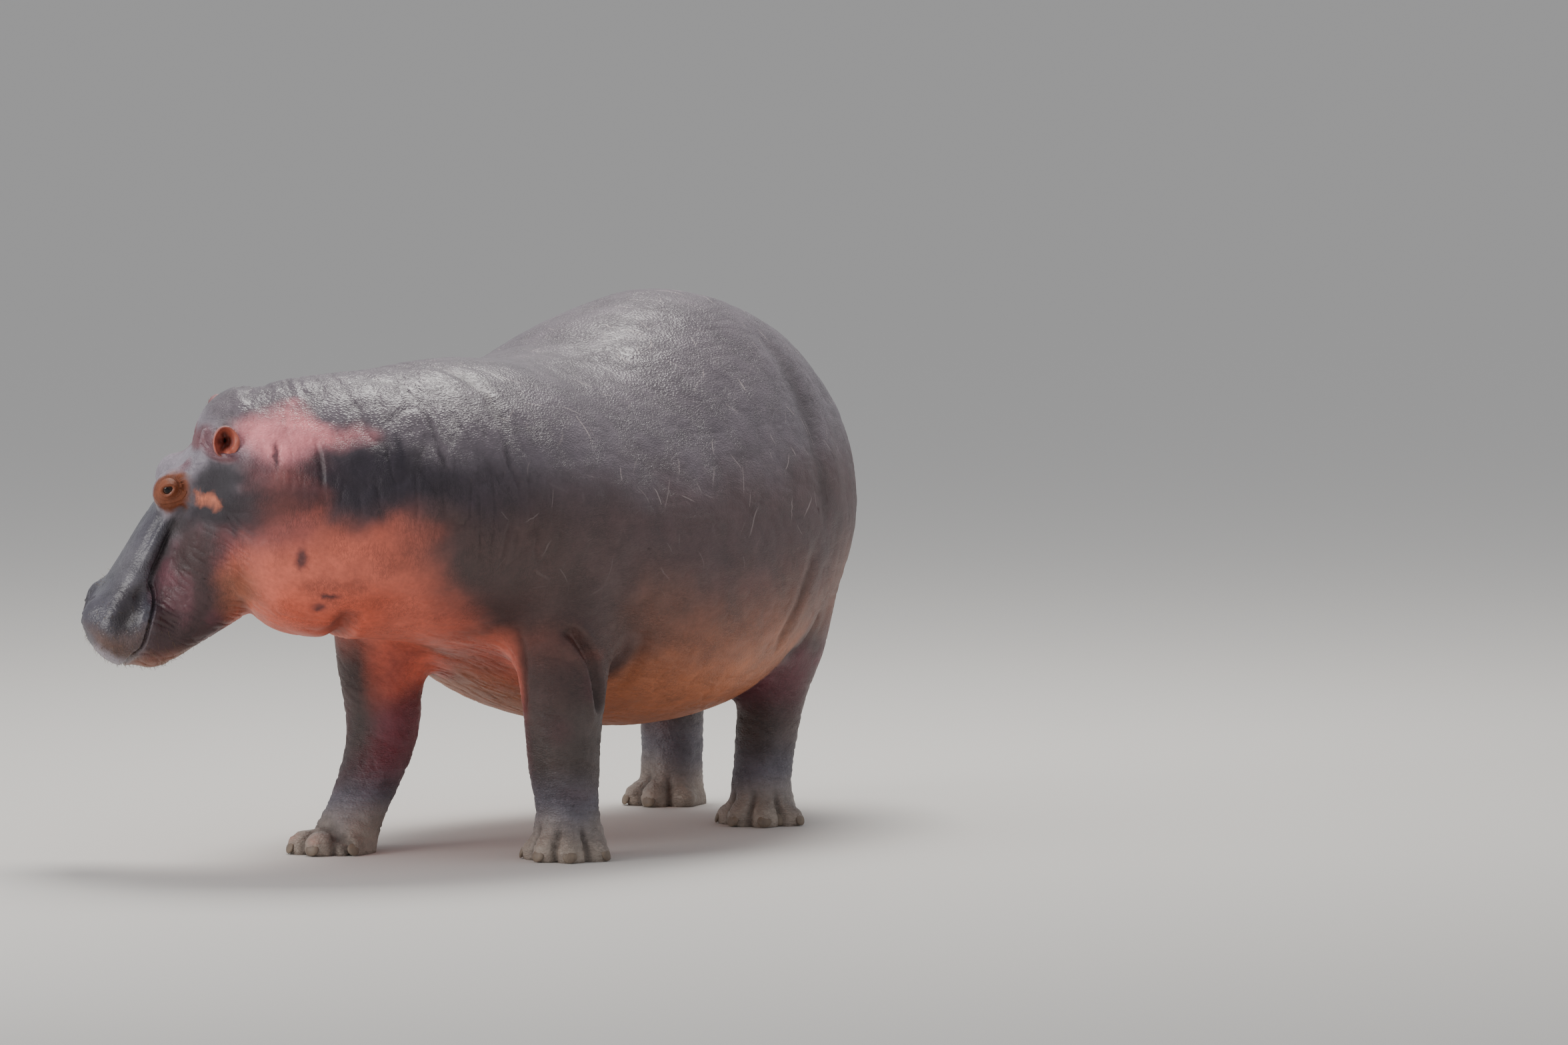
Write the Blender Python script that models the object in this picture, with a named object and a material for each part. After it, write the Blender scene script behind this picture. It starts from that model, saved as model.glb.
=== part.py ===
"""Hippopotamus, life size: a still model that stands on four feet with its head turned to its right.

The body is lofted whole along one bent spine, melted together with its legs and tail, and then parted
by thin plane cuts into the pieces a person would name. Metres, +Z up, +X where the trunk points,
+Y the animal's left.
"""
import math

import bmesh
import bpy
import numpy as np
from mathutils import Matrix, Vector

# Driving sizes: the neck's arc and the head's place on the spine, then the cuts and the mesh.
NECK_START = 0.62
NECK_RADIUS = 0.68
NECK_TURN = math.radians(57.5)
POLL_ALONG = 1.357
POLL_HEIGHT = 1.195
HEAD_PITCH = math.radians(63.0)
HEAD_TILT = math.radians(8.0)
GAP = 0.0003
VOXEL = 0.012
SMOOTH_STEPS = 14
ROOT_REACH = 0.20
ROOT_STEPS = 120
ROOT_BANDS = 10
FLESH_TRIANGLES = 5600

EYE_RADIUS = 0.021
EYE_PLACE = (0.228, 0.004, 0.137)
# Ear roots: forward, dorsal, sideways, and the ear's lean ahead of upright.
EARS = {
    "ear_left": (0.070, -0.080, 0.186, 0.0),
    "ear_right": (0.070, -0.066, -0.186, math.radians(25.0)),
}
EAR_LENGTH = 0.043
EAR_WIDTH = 0.032
EAR_THICKNESS = 0.024
EAR_TURN = math.radians(10.0)
EAR_STAND = 0.70

# Trunk and neck, tail to poll. Each row holds the back's place along the spine and height, the belly's
# place and height, the half width, the squareness, and how far below the middle the widest level lies.
TRUNK = (
    (-0.940, 0.990, -0.935, 0.850, 0.085, 2.0, 0.0),
    (-0.922, 1.080, -0.912, 0.715, 0.180, 2.0, 0.0),
    (-0.880, 1.152, -0.870, 0.595, 0.248, 2.0, 0.05),
    (-0.790, 1.245, -0.785, 0.490, 0.313, 2.0, 0.10),
    (-0.660, 1.325, -0.660, 0.405, 0.381, 2.0, 0.14),
    (-0.470, 1.382, -0.470, 0.335, 0.452, 2.0, 0.16),
    (-0.250, 1.407, -0.250, 0.285, 0.503, 2.0, 0.18),
    (0.000, 1.358, 0.000, 0.280, 0.530, 2.05, 0.18),
    (0.220, 1.288, 0.220, 0.320, 0.525, 2.1, 0.16),
    (0.440, 1.268, 0.420, 0.405, 0.492, 2.1, 0.12),
    (0.620, 1.283, 0.600, 0.500, 0.445, 2.1, 0.06),
    (0.780, 1.278, 0.780, 0.550, 0.390, 2.1, 0.0),
    (0.930, 1.265, 0.930, 0.572, 0.345, 2.1, 0.05),
    (1.080, 1.257, 1.050, 0.580, 0.305, 2.1, 0.12),
    (1.200, 1.240, 1.170, 0.595, 0.265, 2.1, 0.18),
    (1.290, 1.203, 1.240, 0.630, 0.222, 2.1, 0.20),
    (1.340, 1.165, 1.300, 0.700, 0.165, 2.0, 0.10),
)
# Upper head, poll to nose: forward, top, underside, half width, squareness, widest level.
SKULL = (
    (-0.060, -0.040, -0.250, 0.130, 2.0, 0.0),
    (0.000, 0.004, -0.250, 0.155, 2.1, 0.1),
    (0.070, 0.011, -0.240, 0.158, 2.2, 0.1),
    (0.140, -0.006, -0.220, 0.146, 2.2, 0.1),
    (0.210, 0.010, -0.180, 0.128, 2.3, 0.0),
    (0.290, 0.012, -0.130, 0.116, 2.4, 0.0),
    (0.370, 0.022, -0.100, 0.120, 2.4, 0.0),
    (0.450, 0.027, -0.098, 0.134, 2.5, 0.0),
    (0.530, 0.033, -0.108, 0.165, 2.5, 0.0),
    (0.590, 0.042, -0.125, 0.190, 2.5, 0.0),
    (0.642, 0.042, -0.136, 0.192, 2.4, 0.0),
    (0.678, 0.026, -0.134, 0.175, 2.3, 0.0),
    (0.704, -0.010, -0.122, 0.135, 2.1, 0.0),
    (0.718, -0.048, -0.098, 0.070, 2.0, 0.0),
)
# Lower jaw and cheeks, in the same columns.
JAW = (
    (-0.040, -0.080, -0.290, 0.170, 2.0, 0.0),
    (0.020, -0.050, -0.340, 0.215, 2.1, 0.0),
    (0.100, -0.030, -0.360, 0.232, 2.2, 0.0),
    (0.200, -0.040, -0.370, 0.225, 2.2, 0.0),
    (0.300, -0.050, -0.372, 0.198, 2.2, 0.0),
    (0.380, -0.060, -0.357, 0.172, 2.2, 0.0),
    (0.460, -0.070, -0.325, 0.160, 2.2, 0.0),
    (0.530, -0.080, -0.283, 0.165, 2.2, 0.0),
    (0.600, -0.090, -0.238, 0.170, 2.2, 0.0),
    (0.655, -0.100, -0.204, 0.150, 2.1, 0.0),
    (0.685, -0.118, -0.174, 0.110, 2.0, 0.0),
    (0.697, -0.130, -0.150, 0.060, 2.0, 0.0),
)
# Bulges on the head: forward, dorsal, sideways (both sides), and their three radii.
HEAD_BULGES = (
    (0.238, -0.002, 0.098, 0.058, 0.046, 0.056),
    (0.192, -0.048, 0.080, 0.088, 0.046, 0.070),
    (0.615, 0.022, 0.105, 0.050, 0.030, 0.045),
    (0.590, -0.090, 0.150, 0.075, 0.052, 0.050),
)

# Haunches and shoulders: along, side and height of the middle, and the three radii.
MUSCLES = (
    (-0.510, 0.210, 0.600, 0.190, 0.160, 0.300),
    (-0.660, -0.210, 0.610, 0.190, 0.160, 0.300),
    (0.555, 0.250, 0.740, 0.200, 0.175, 0.300),
    (0.545, -0.250, 0.740, 0.200, 0.175, 0.300),
)

# Legs: name, then rows of along, side, height, half length, half width, from the body to the sole.
LEGS = {
    "leg_front_left": (
        (0.540, 0.240, 0.820, 0.180, 0.140),
        (0.575, 0.275, 0.640, 0.165, 0.135),
        (0.605, 0.303, 0.470, 0.128, 0.115),
        (0.610, 0.305, 0.330, 0.102, 0.098),
        (0.600, 0.302, 0.220, 0.090, 0.090),
        (0.587, 0.303, 0.130, 0.080, 0.082),
        (0.588, 0.307, 0.060, 0.094, 0.092),
        (0.592, 0.312, 0.000, 0.108, 0.107),
        (0.592, 0.312, -0.030, 0.108, 0.107),
    ),
    "leg_front_right": (
        (0.540, -0.240, 0.820, 0.180, 0.140),
        (0.560, -0.265, 0.640, 0.165, 0.135),
        (0.575, -0.283, 0.470, 0.128, 0.112),
        (0.582, -0.268, 0.320, 0.100, 0.095),
        (0.630, -0.263, 0.220, 0.088, 0.088),
        (0.697, -0.268, 0.120, 0.082, 0.082),
        (0.742, -0.277, 0.060, 0.090, 0.088),
        (0.780, -0.285, 0.000, 0.104, 0.102),
        (0.780, -0.285, -0.030, 0.104, 0.102),
    ),
    "leg_hind_left": (
        (-0.520, 0.210, 0.850, 0.200, 0.140),
        (-0.520, 0.250, 0.640, 0.190, 0.130),
        (-0.495, 0.262, 0.460, 0.140, 0.108),
        (-0.470, 0.252, 0.330, 0.096, 0.089),
        (-0.450, 0.245, 0.220, 0.084, 0.080),
        (-0.437, 0.240, 0.110, 0.080, 0.078),
        (-0.434, 0.243, 0.055, 0.088, 0.086),
        (-0.432, 0.248, 0.000, 0.103, 0.101),
        (-0.432, 0.248, -0.030, 0.103, 0.101),
    ),
    "leg_hind_right": (
        (-0.620, -0.210, 0.850, 0.200, 0.140),
        (-0.665, -0.238, 0.640, 0.175, 0.128),
        (-0.715, -0.255, 0.460, 0.140, 0.108),
        (-0.750, -0.252, 0.330, 0.096, 0.090),
        (-0.757, -0.247, 0.220, 0.086, 0.083),
        (-0.752, -0.245, 0.110, 0.083, 0.081),
        (-0.747, -0.243, 0.055, 0.087, 0.085),
        (-0.740, -0.242, 0.000, 0.098, 0.096),
        (-0.740, -0.242, -0.030, 0.098, 0.096),
    ),
}
TOE_ANGLES = (-72.0, -20.0, 20.0, 72.0)
TOE_REACH = (0.132, 0.138, 0.138, 0.132)
TOE_OUT = math.radians(14.0)
TOE_RADIUS = (0.038, 0.043, 0.043, 0.038)
TOE_LENGTH = 0.058

# Cut across each leg: along, side, height, reach back, ahead and to the sides, slopes outward and back.
LEG_CUTS = {
    "leg_front_left": (0.605, 0.300, 0.470, 0.155, 0.240, 0.180, 0.60, 0.00),
    "leg_front_right": (0.605, -0.300, 0.470, 0.165, 0.400, 0.180, 0.60, 0.00),
    "leg_hind_left": (-0.480, 0.255, 0.385, 0.220, 0.230, 0.170, 0.50, 0.45),
    "leg_hind_right": (-0.745, -0.250, 0.420, 0.180, 0.190, 0.170, 0.50, 0.40),
}
TAIL_CUT = -0.985
NECK_CUT = 0.82
HEAD_CUT = 1.27

# Tail: along, side, height, half thickness across the fall, half width.
TAIL = (
    (-0.840, 0.0, 1.075, 0.080, 0.110),
    (-0.930, 0.0, 1.045, 0.066, 0.086),
    (-1.005, 0.0, 0.975, 0.044, 0.060),
    (-1.030, 0.0, 0.870, 0.032, 0.046),
    (-1.034, 0.0, 0.765, 0.024, 0.036),
    (-1.029, 0.0, 0.670, 0.017, 0.028),
    (-1.024, 0.0, 0.630, 0.012, 0.018),
)

# Base colour and roughness of each piece.
FINISHES = {
    "head": ((0.115, 0.085, 0.085), 0.50),
    "neck": ((0.340, 0.140, 0.110), 0.55),
    "trunk": ((0.150, 0.105, 0.100), 0.55),
    "tail": ((0.130, 0.105, 0.105), 0.60),
    "leg_front_left": ((0.140, 0.118, 0.110), 0.65),
    "leg_front_right": ((0.175, 0.120, 0.125), 0.65),
    "leg_hind_left": ((0.150, 0.122, 0.118), 0.65),
    "leg_hind_right": ((0.140, 0.115, 0.112), 0.65),
    "ear_left": ((0.400, 0.180, 0.130), 0.55),
    "ear_right": ((0.400, 0.180, 0.130), 0.55),
    "eye_left": ((0.020, 0.012, 0.010), 0.08),
    "eye_right": ((0.020, 0.012, 0.010), 0.08),
}


def spine_place(along):
    """Plan position and heading on the spine: straight to the neck, then an arc, then straight again."""
    bend = min(max((along - NECK_START) / NECK_RADIUS, 0.0), NECK_TURN)
    past = along - NECK_START - bend * NECK_RADIUS
    x = NECK_START + NECK_RADIUS * math.sin(bend) + past * math.cos(bend)
    y = -NECK_RADIUS * (1.0 - math.cos(bend)) - past * math.sin(bend)
    return np.array([x, y, 0.0]), -bend


def spine_point(along, height):
    place, _ = spine_place(along)
    return place + np.array([0.0, 0.0, height])


def sideways(heading):
    """Unit vector to the animal's left."""
    return np.array([-math.sin(heading), math.cos(heading), 0.0])


def head_axes():
    """Origin at the top of the poll, and the head's forward, dorsal and left directions."""
    place, heading = spine_place(POLL_ALONG)
    ahead = np.array([math.cos(heading), math.sin(heading), 0.0])
    up = np.array([0.0, 0.0, 1.0])
    forward = ahead * math.cos(HEAD_PITCH) - up * math.sin(HEAD_PITCH)
    dorsal = ahead * math.sin(HEAD_PITCH) + up * math.cos(HEAD_PITCH)
    left = sideways(heading)
    tilt = np.array(Matrix.Rotation(-HEAD_TILT, 3, Vector(ahead)))
    return place + up * POLL_HEIGHT, tilt @ forward, tilt @ dorsal, tilt @ left


def head_point(forward, dorsal, left):
    origin, ahead, up, side = head_axes()
    return origin + ahead * forward + up * dorsal + side * left


def smooth_rows(rows, count):
    """Catmull-Rom curve through the rows of a table, sampled count times."""
    rows = np.array(rows, float)
    ends = np.vstack([2 * rows[0] - rows[1], rows, 2 * rows[-1] - rows[-2]])
    t = np.linspace(0.0, len(rows) - 1.0, count)
    k = np.minimum(t.astype(int), len(rows) - 2)
    f = (t - k)[:, None]
    a, b, c, d = (ends[k + i] for i in range(4))
    return 0.5 * (2 * b + (c - a) * f + (2 * a - 5 * b + 4 * c - d) * f**2 + (3 * b - a - 3 * c + d) * f**3)


def ring(centre, up, side, square, widest, count):
    """Superellipse round the centre; widest moves its broadest level down by that share of up."""
    t = np.arange(count) * 2 * math.pi / count
    across = np.sign(np.cos(t)) * np.abs(np.cos(t)) ** (2 / square)
    level = np.sign(np.sin(t)) * np.abs(np.sin(t)) ** (2 / square)
    level = level - widest * (1 - level**2)
    return centre + across[:, None] * side + level[:, None] * up


def loft(name, rings):
    """Closed tube through the rings, with a flat cap on each end."""
    bm = bmesh.new()
    loops = [[bm.verts.new(p) for p in points] for points in rings]
    for low, high in zip(loops, loops[1:]):
        for i in range(len(low)):
            j = (i + 1) % len(low)
            bm.faces.new((low[i], low[j], high[j], high[i]))
    bm.faces.new(loops[0])
    bm.faces.new(loops[-1])
    bmesh.ops.recalc_face_normals(bm, faces=bm.faces)
    mesh = bpy.data.meshes.new(name)
    bm.to_mesh(mesh)
    bm.free()
    return mesh


def ball(name, centre, axes, radii, rings=24):
    """Ellipsoid with its radii along the given axes."""
    bm = bmesh.new()
    frame = Matrix([list(a * r) + [0.0] for a, r in zip(axes, radii)] + [[0, 0, 0, 1]]).transposed()
    frame.translation = Vector(centre)
    bmesh.ops.create_uvsphere(bm, u_segments=rings * 2, v_segments=rings, radius=1.0, matrix=frame)
    bmesh.ops.recalc_face_normals(bm, faces=bm.faces)
    mesh = bpy.data.meshes.new(name)
    bm.to_mesh(mesh)
    bm.free()
    return mesh


def trunk_mesh():
    rings = []
    for back_at, back, belly_at, belly, half_width, square, widest in smooth_rows(TRUNK, 90):
        top, low = spine_point(back_at, back), spine_point(belly_at, belly)
        side = sideways(spine_place((back_at + belly_at) / 2)[1]) * half_width
        rings.append(ring((top + low) / 2, (top - low) / 2, side, square, widest, 72))
    return loft("trunk_loft", rings)


def head_mesh(name, table):
    _, _, up, side = head_axes()
    rings = []
    for forward, top, low, half_width, square, widest in smooth_rows(table, 70):
        centre = head_point(forward, (top + low) / 2, 0.0)
        rings.append(ring(centre, up * (top - low) / 2, side * half_width, square, widest, 56))
    return loft(name, rings)


def bulge_meshes():
    _, ahead, up, side = head_axes()
    meshes = []
    for forward, dorsal, out, *radii in HEAD_BULGES:
        for hand in (-1, 1):
            meshes.append(ball("bulge", head_point(forward, dorsal, hand * out), (ahead, up, side), radii))
    return meshes


def muscle_meshes():
    return [ball("muscle", row[:3], np.eye(3), row[3:]) for row in MUSCLES]


def leg_mesh(name):
    rings = []
    for along, side, height, half_length, half_width in smooth_rows(LEGS[name], 44):
        centre = np.array([along, side, height])
        rings.append(ring(centre, np.array([half_length, 0, 0]), np.array([0, half_width, 0]), 2.2, 0, 36))
    return loft(name, rings)


def toe_meshes(name):
    """Four toes spread from the foot's middle, each a ball pressed down towards the sole."""
    along, side = LEGS[name][-1][:2]
    out = 1 if side > 0 else -1
    meshes = []
    for angle, reach, radius in zip(TOE_ANGLES, TOE_REACH, TOE_RADIUS):
        turn = math.radians(angle) + out * TOE_OUT
        ahead = np.array([math.cos(turn), math.sin(turn), 0.0])
        across = np.array([-math.sin(turn), math.cos(turn), 0.0])
        middle = np.array([along, side, radius * 0.55]) + ahead * (reach - TOE_LENGTH)
        meshes.append(ball("toe", middle, (ahead, across, np.array([0, 0, 1.0])), (TOE_LENGTH, radius, radius)))
    return meshes


def tail_mesh():
    rows = smooth_rows(TAIL, 40)
    centres = rows[:, :3]
    course = np.gradient(centres, axis=0)
    rings = []
    for centre, along, row in zip(centres, course, rows):
        along = along / np.linalg.norm(along)
        across = np.array([0.0, 1.0, 0.0])
        thick = np.cross(along, across)
        rings.append(ring(centre, thick * row[3], across * row[4], 2.0, 0, 24))
    return loft("tail_loft", rings)


def melt(meshes):
    """Union of the overlapping shells as one smooth skin."""
    bm = bmesh.new()
    for mesh in meshes:
        bm.from_mesh(mesh)
        bpy.data.meshes.remove(mesh)
    mesh = bpy.data.meshes.new("flesh")
    bm.to_mesh(mesh)
    bm.free()
    body = bpy.data.objects.new("flesh", mesh)
    bpy.context.collection.objects.link(body)
    remesh = body.modifiers.new("melt", "REMESH")
    remesh.mode = "VOXEL"
    remesh.voxel_size = VOXEL
    smooth = body.modifiers.new("smooth", "SMOOTH")
    smooth.factor = 0.5
    smooth.iterations = SMOOTH_STEPS
    body.data = evaluated(body)
    body.modifiers.clear()
    points = np.empty(len(body.data.vertices) * 3, np.float32)
    body.data.vertices.foreach_get("co", points)
    group = body.vertex_groups.new(name="limb_roots")
    near = np.zeros(len(points) // 3)
    for rows in LEGS.values():
        away = np.linalg.norm(points.reshape(-1, 3) - np.array(rows[1][:3]), axis=1)
        near = np.maximum(near, np.clip(2.0 - away / ROOT_REACH, 0.0, 1.0))
    for step in range(1, ROOT_BANDS + 1):
        picked = np.flatnonzero(np.round(near * ROOT_BANDS) == step)
        group.add(picked.tolist(), step / ROOT_BANDS, "REPLACE")
    blend = body.modifiers.new("blend", "SMOOTH")
    blend.factor = 0.5
    blend.iterations = ROOT_STEPS
    blend.vertex_group = group.name
    return body


def evaluated(body):
    """The object's mesh with its modifiers applied."""
    graph = bpy.context.evaluated_depsgraph_get()
    return bpy.data.meshes.new_from_object(body.evaluated_get(graph))


def fewer_triangles(body, count):
    mesh = evaluated(body)
    body.modifiers.clear()
    body.data = mesh
    faces = sum(len(p.vertices) - 2 for p in mesh.polygons)
    decimate = body.modifiers.new("fewer", "DECIMATE")
    decimate.ratio = count / faces
    mesh = evaluated(body)
    body.modifiers.clear()
    body.data = mesh


def leg_cutter(name, slack):
    """Block round one leg with upright walls and a slanted top, grown by slack."""
    along, side, height, reach_back, reach_ahead, reach_side, slope_out, slope_back = LEG_CUTS[name]
    out = 1 if side > 0 else -1
    bm = bmesh.new()
    bmesh.ops.create_cube(bm, size=2.0)
    for vertex in bm.verts:
        dx = (reach_ahead + slack) if vertex.co.x > 0 else -(reach_back + slack)
        dy = (reach_side + slack) * vertex.co.y
        top = height + slack + slope_out * out * dy - slope_back * dx
        vertex.co = (along + dx, side + dy, top if vertex.co.z > 0 else -0.1)
    mesh = bpy.data.meshes.new(name + "_cutter")
    bm.to_mesh(mesh)
    bm.free()
    return mesh


def boolean(mesh, other, operation, name):
    """New mesh: the first with the second cut away or kept."""
    subject = bpy.data.objects.new("subject", mesh)
    tool = bpy.data.objects.new("tool", other)
    for obj in (subject, tool):
        bpy.context.collection.objects.link(obj)
    cut = subject.modifiers.new("cut", "BOOLEAN")
    cut.object = tool
    cut.operation = operation
    result = evaluated(subject)
    result.name = name
    for obj in (subject, tool):
        bpy.data.objects.remove(obj)
    return result


def halve(mesh, point, normal, name):
    """New mesh: the part of this one behind the plane, closed across the cut."""
    bm = bmesh.new()
    bm.from_mesh(mesh)
    geometry = bm.verts[:] + bm.edges[:] + bm.faces[:]
    bmesh.ops.bisect_plane(bm, geom=geometry, plane_co=point, plane_no=normal, clear_outer=True)
    edges = [e for e in bm.edges if e.is_boundary]
    bmesh.ops.holes_fill(bm, edges=edges, sides=0)
    bmesh.ops.triangulate(bm, faces=[f for f in bm.faces if len(f.verts) > 4])
    result = bpy.data.meshes.new(name)
    bm.to_mesh(result)
    bm.free()
    return result


def split(mesh, point, normal, name_behind, name_beyond):
    """Both sides of a thin plane cut."""
    point, normal = Vector(point), Vector(normal).normalized()
    behind = halve(mesh, point - normal * GAP / 2, normal, name_behind)
    beyond = halve(mesh, point + normal * GAP / 2, -normal, name_beyond)
    return behind, beyond


def spine_cut(along):
    place, heading = spine_place(along)
    return place, (math.cos(heading), math.sin(heading), 0.0)


def ear_mesh(name):
    """A cupped ear: an ellipsoid that stands on its root, hollowed from its outer side."""
    forward, dorsal, side, lean = EARS[name]
    hand = math.copysign(1.0, side)
    _, _, _, left = head_axes()
    _, heading = spine_place(POLL_ALONG)
    out = left * hand
    upward = np.array([math.cos(heading) * math.sin(lean), math.sin(heading) * math.sin(lean), math.cos(lean)])
    facing = out - upward * (out @ upward)
    facing = facing / np.linalg.norm(facing)
    facing = facing * math.cos(EAR_TURN) + np.cross(upward, facing) * hand * math.sin(EAR_TURN)
    across = np.cross(upward, facing)
    place = head_point(forward, dorsal, side) + upward * EAR_LENGTH * EAR_STAND
    axes = (upward, across, facing)
    shell = ball("ear", place, axes, (EAR_LENGTH, EAR_WIDTH, EAR_THICKNESS), 10)
    bowl_place = place + facing * EAR_THICKNESS * 0.75 + upward * EAR_LENGTH * 0.10
    bowl_radii = (EAR_LENGTH * 0.76, EAR_WIDTH * 0.72, EAR_THICKNESS * 1.05)
    bowl = ball("bowl", bowl_place, axes, bowl_radii, 8)
    return boolean(shell, bowl, "DIFFERENCE", "ear"), out


def add_part(name, mesh):
    """Object of that name with its own material."""
    base, roughness = FINISHES[name]
    material = bpy.data.materials.new(name + "_skin")
    material.use_nodes = True
    shader = material.node_tree.nodes["Principled BSDF"]
    shader.inputs["Base Color"].default_value = (*base, 1.0)
    shader.inputs["Roughness"].default_value = roughness
    shader.inputs["Metallic"].default_value = 0.0
    mesh.materials.clear()
    mesh.materials.append(material)
    mesh.shade_smooth()
    mesh.set_sharp_from_angle(angle=math.radians(40))
    bpy.context.collection.objects.link(bpy.data.objects.new(name, mesh))


def stand_on_origin():
    """Moves every piece so that the middle of their common box, at the soles, is the origin."""
    corners = np.array([v.co for obj in bpy.data.objects for v in obj.data.vertices])
    low, high = corners.min(axis=0), corners.max(axis=0)
    middle = Vector(((low[0] + high[0]) / 2, (low[1] + high[1]) / 2, low[2]))
    for obj in bpy.data.objects:
        obj.data.transform(Matrix.Translation(-middle))


def main():
    for obj in list(bpy.data.objects):
        bpy.data.objects.remove(obj)
    meshes = [trunk_mesh(), head_mesh("skull", SKULL), head_mesh("jaw", JAW), tail_mesh()]
    meshes += bulge_meshes() + muscle_meshes()
    for name in LEGS:
        meshes.append(leg_mesh(name))
        meshes += toe_meshes(name)
    body = melt(meshes)
    fewer_triangles(body, FLESH_TRIANGLES)
    rest = halve(body.data, Vector((0, 0, 0)), Vector((0, 0, -1)), "rest")
    bpy.data.objects.remove(body)
    axes = head_axes()[1:]
    for name, hand in (("eye_left", 1), ("eye_right", -1)):
        place = head_point(EYE_PLACE[0], EYE_PLACE[1], hand * EYE_PLACE[2])
        socket = ball("socket", place, axes, [EYE_RADIUS + GAP] * 3, 8)
        rest = boolean(rest, socket, "DIFFERENCE", "rest")
        add_part(name, ball(name, place, axes, [EYE_RADIUS] * 3, 8))
    for name in EARS:
        shell, out = ear_mesh(name)
        mesh = boolean(shell, rest.copy(), "DIFFERENCE", name)
        mesh.transform(Matrix.Translation(Vector(out) * 2 * GAP))
        add_part(name, mesh)
    for name in LEGS:
        leg = boolean(rest.copy(), leg_cutter(name, 0.0), "INTERSECT", name)
        rest = boolean(rest, leg_cutter(name, GAP), "DIFFERENCE", "rest")
        add_part(name, leg)
    rest, tail = split(rest, (TAIL_CUT, 0, 0), (-1, 0, 0), "rest", "tail")
    add_part("tail", tail)
    trunk, rest = split(rest, *spine_cut(NECK_CUT), "trunk", "rest")
    neck, head = split(rest, *spine_cut(HEAD_CUT), "neck", "head")
    add_part("trunk", trunk)
    add_part("neck", neck)
    add_part("head", head)
    stand_on_origin()


main()
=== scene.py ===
"""Looks of a life-size hippopotamus that stands still, its head turned to its right and lowered.

One skin covers the body, head, legs, ears and tail. Eyeballs, nails and bristles are pieces of their own.
Shapes are worked out in metres with +X where the trunk points, +Y the animal's left and +Z up, on an
origin below the withers, and are moved on to the frame's origin at the end.
"""

import contextlib
import math

import bmesh
import bpy
import numpy as np
from mathutils import Matrix, Vector

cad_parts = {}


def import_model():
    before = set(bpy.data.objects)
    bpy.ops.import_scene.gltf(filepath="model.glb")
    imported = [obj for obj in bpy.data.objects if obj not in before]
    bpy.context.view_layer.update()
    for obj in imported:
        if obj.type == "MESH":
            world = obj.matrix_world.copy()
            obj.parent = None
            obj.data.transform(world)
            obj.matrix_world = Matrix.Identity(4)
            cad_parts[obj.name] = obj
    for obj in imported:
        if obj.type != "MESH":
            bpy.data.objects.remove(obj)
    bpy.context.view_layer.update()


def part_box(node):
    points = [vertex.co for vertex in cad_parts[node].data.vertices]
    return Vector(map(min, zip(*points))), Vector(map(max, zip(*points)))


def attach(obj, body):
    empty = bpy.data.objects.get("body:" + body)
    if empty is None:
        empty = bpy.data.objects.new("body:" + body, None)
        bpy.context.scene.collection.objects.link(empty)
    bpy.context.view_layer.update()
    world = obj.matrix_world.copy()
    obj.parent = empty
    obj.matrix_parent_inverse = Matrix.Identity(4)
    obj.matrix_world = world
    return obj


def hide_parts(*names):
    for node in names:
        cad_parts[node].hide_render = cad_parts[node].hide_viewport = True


def grid(columns, *values):
    """Rows with that many columns, given in thousandths."""
    return np.reshape(values, (-1, columns)) / 1000.0


def srgb(*levels):
    """Linear colour from levels of 0 to 255."""
    return np.array([(v / 255) ** 2.2 for v in levels])


UP = np.array([0.0, 0.0, 1.0])
# The neck's arc, the head's place on it, and the places of eyes and ears on the head.
NECK_START = 0.62
NECK_RADIUS = 0.68
NECK_TURN = math.radians(57.5)
POLL_ALONG = 1.357
POLL_HEIGHT = 1.195
HEAD_PITCH = math.radians(63.0)
HEAD_TILT = math.radians(8.0)
EYE_RADIUS = 0.021
EYE_PLACE = (0.228, 0.004, 0.137)
# Each ear's root forward, dorsal and to the left of the poll, and how far it leans ahead.
EARS = {"ear_left": (0.07, -0.08, 0.186, 0.0), "ear_right": (0.07, -0.066, -0.186, math.radians(25.0))}
EAR_LENGTH = 0.038
EAR_WIDTH = 0.032
EAR_STAND = 0.7
EAR_TURN = math.radians(13.0)
EAR_SINK = 0.002
EAR_ROWS = 50
EAR_CUP_ROWS = 27

# Trunk and neck, tail to poll: the back's place along the spine and height, the belly's place and height,
# the half width, the squareness, and how far below the middle the widest level lies, of the half height.
TRUNK = grid(7,
    -940, 990, -935, 850, 85, 2000, 0, -922, 1080, -912, 715, 180, 2000, 0,
    -880, 1152, -870, 595, 248, 2000, 50, -790, 1245, -785, 490, 313, 2000, 100,
    -660, 1325, -660, 405, 381, 2000, 140, -470, 1382, -470, 335, 452, 2000, 160,
    -250, 1407, -250, 285, 503, 2000, 180, 0, 1358, 0, 280, 530, 2050, 180,
    220, 1288, 220, 320, 525, 2100, 160, 440, 1268, 420, 405, 492, 2100, 120,
    620, 1283, 600, 500, 445, 2100, 60, 780, 1278, 780, 550, 390, 2100, 0,
    930, 1265, 930, 572, 345, 2100, 50, 1080, 1257, 1050, 580, 305, 2100, 120,
    1200, 1240, 1170, 595, 265, 2100, 180, 1290, 1203, 1240, 630, 222, 2100, 200,
    1340, 1165, 1300, 700, 165, 2000, 100)
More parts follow.
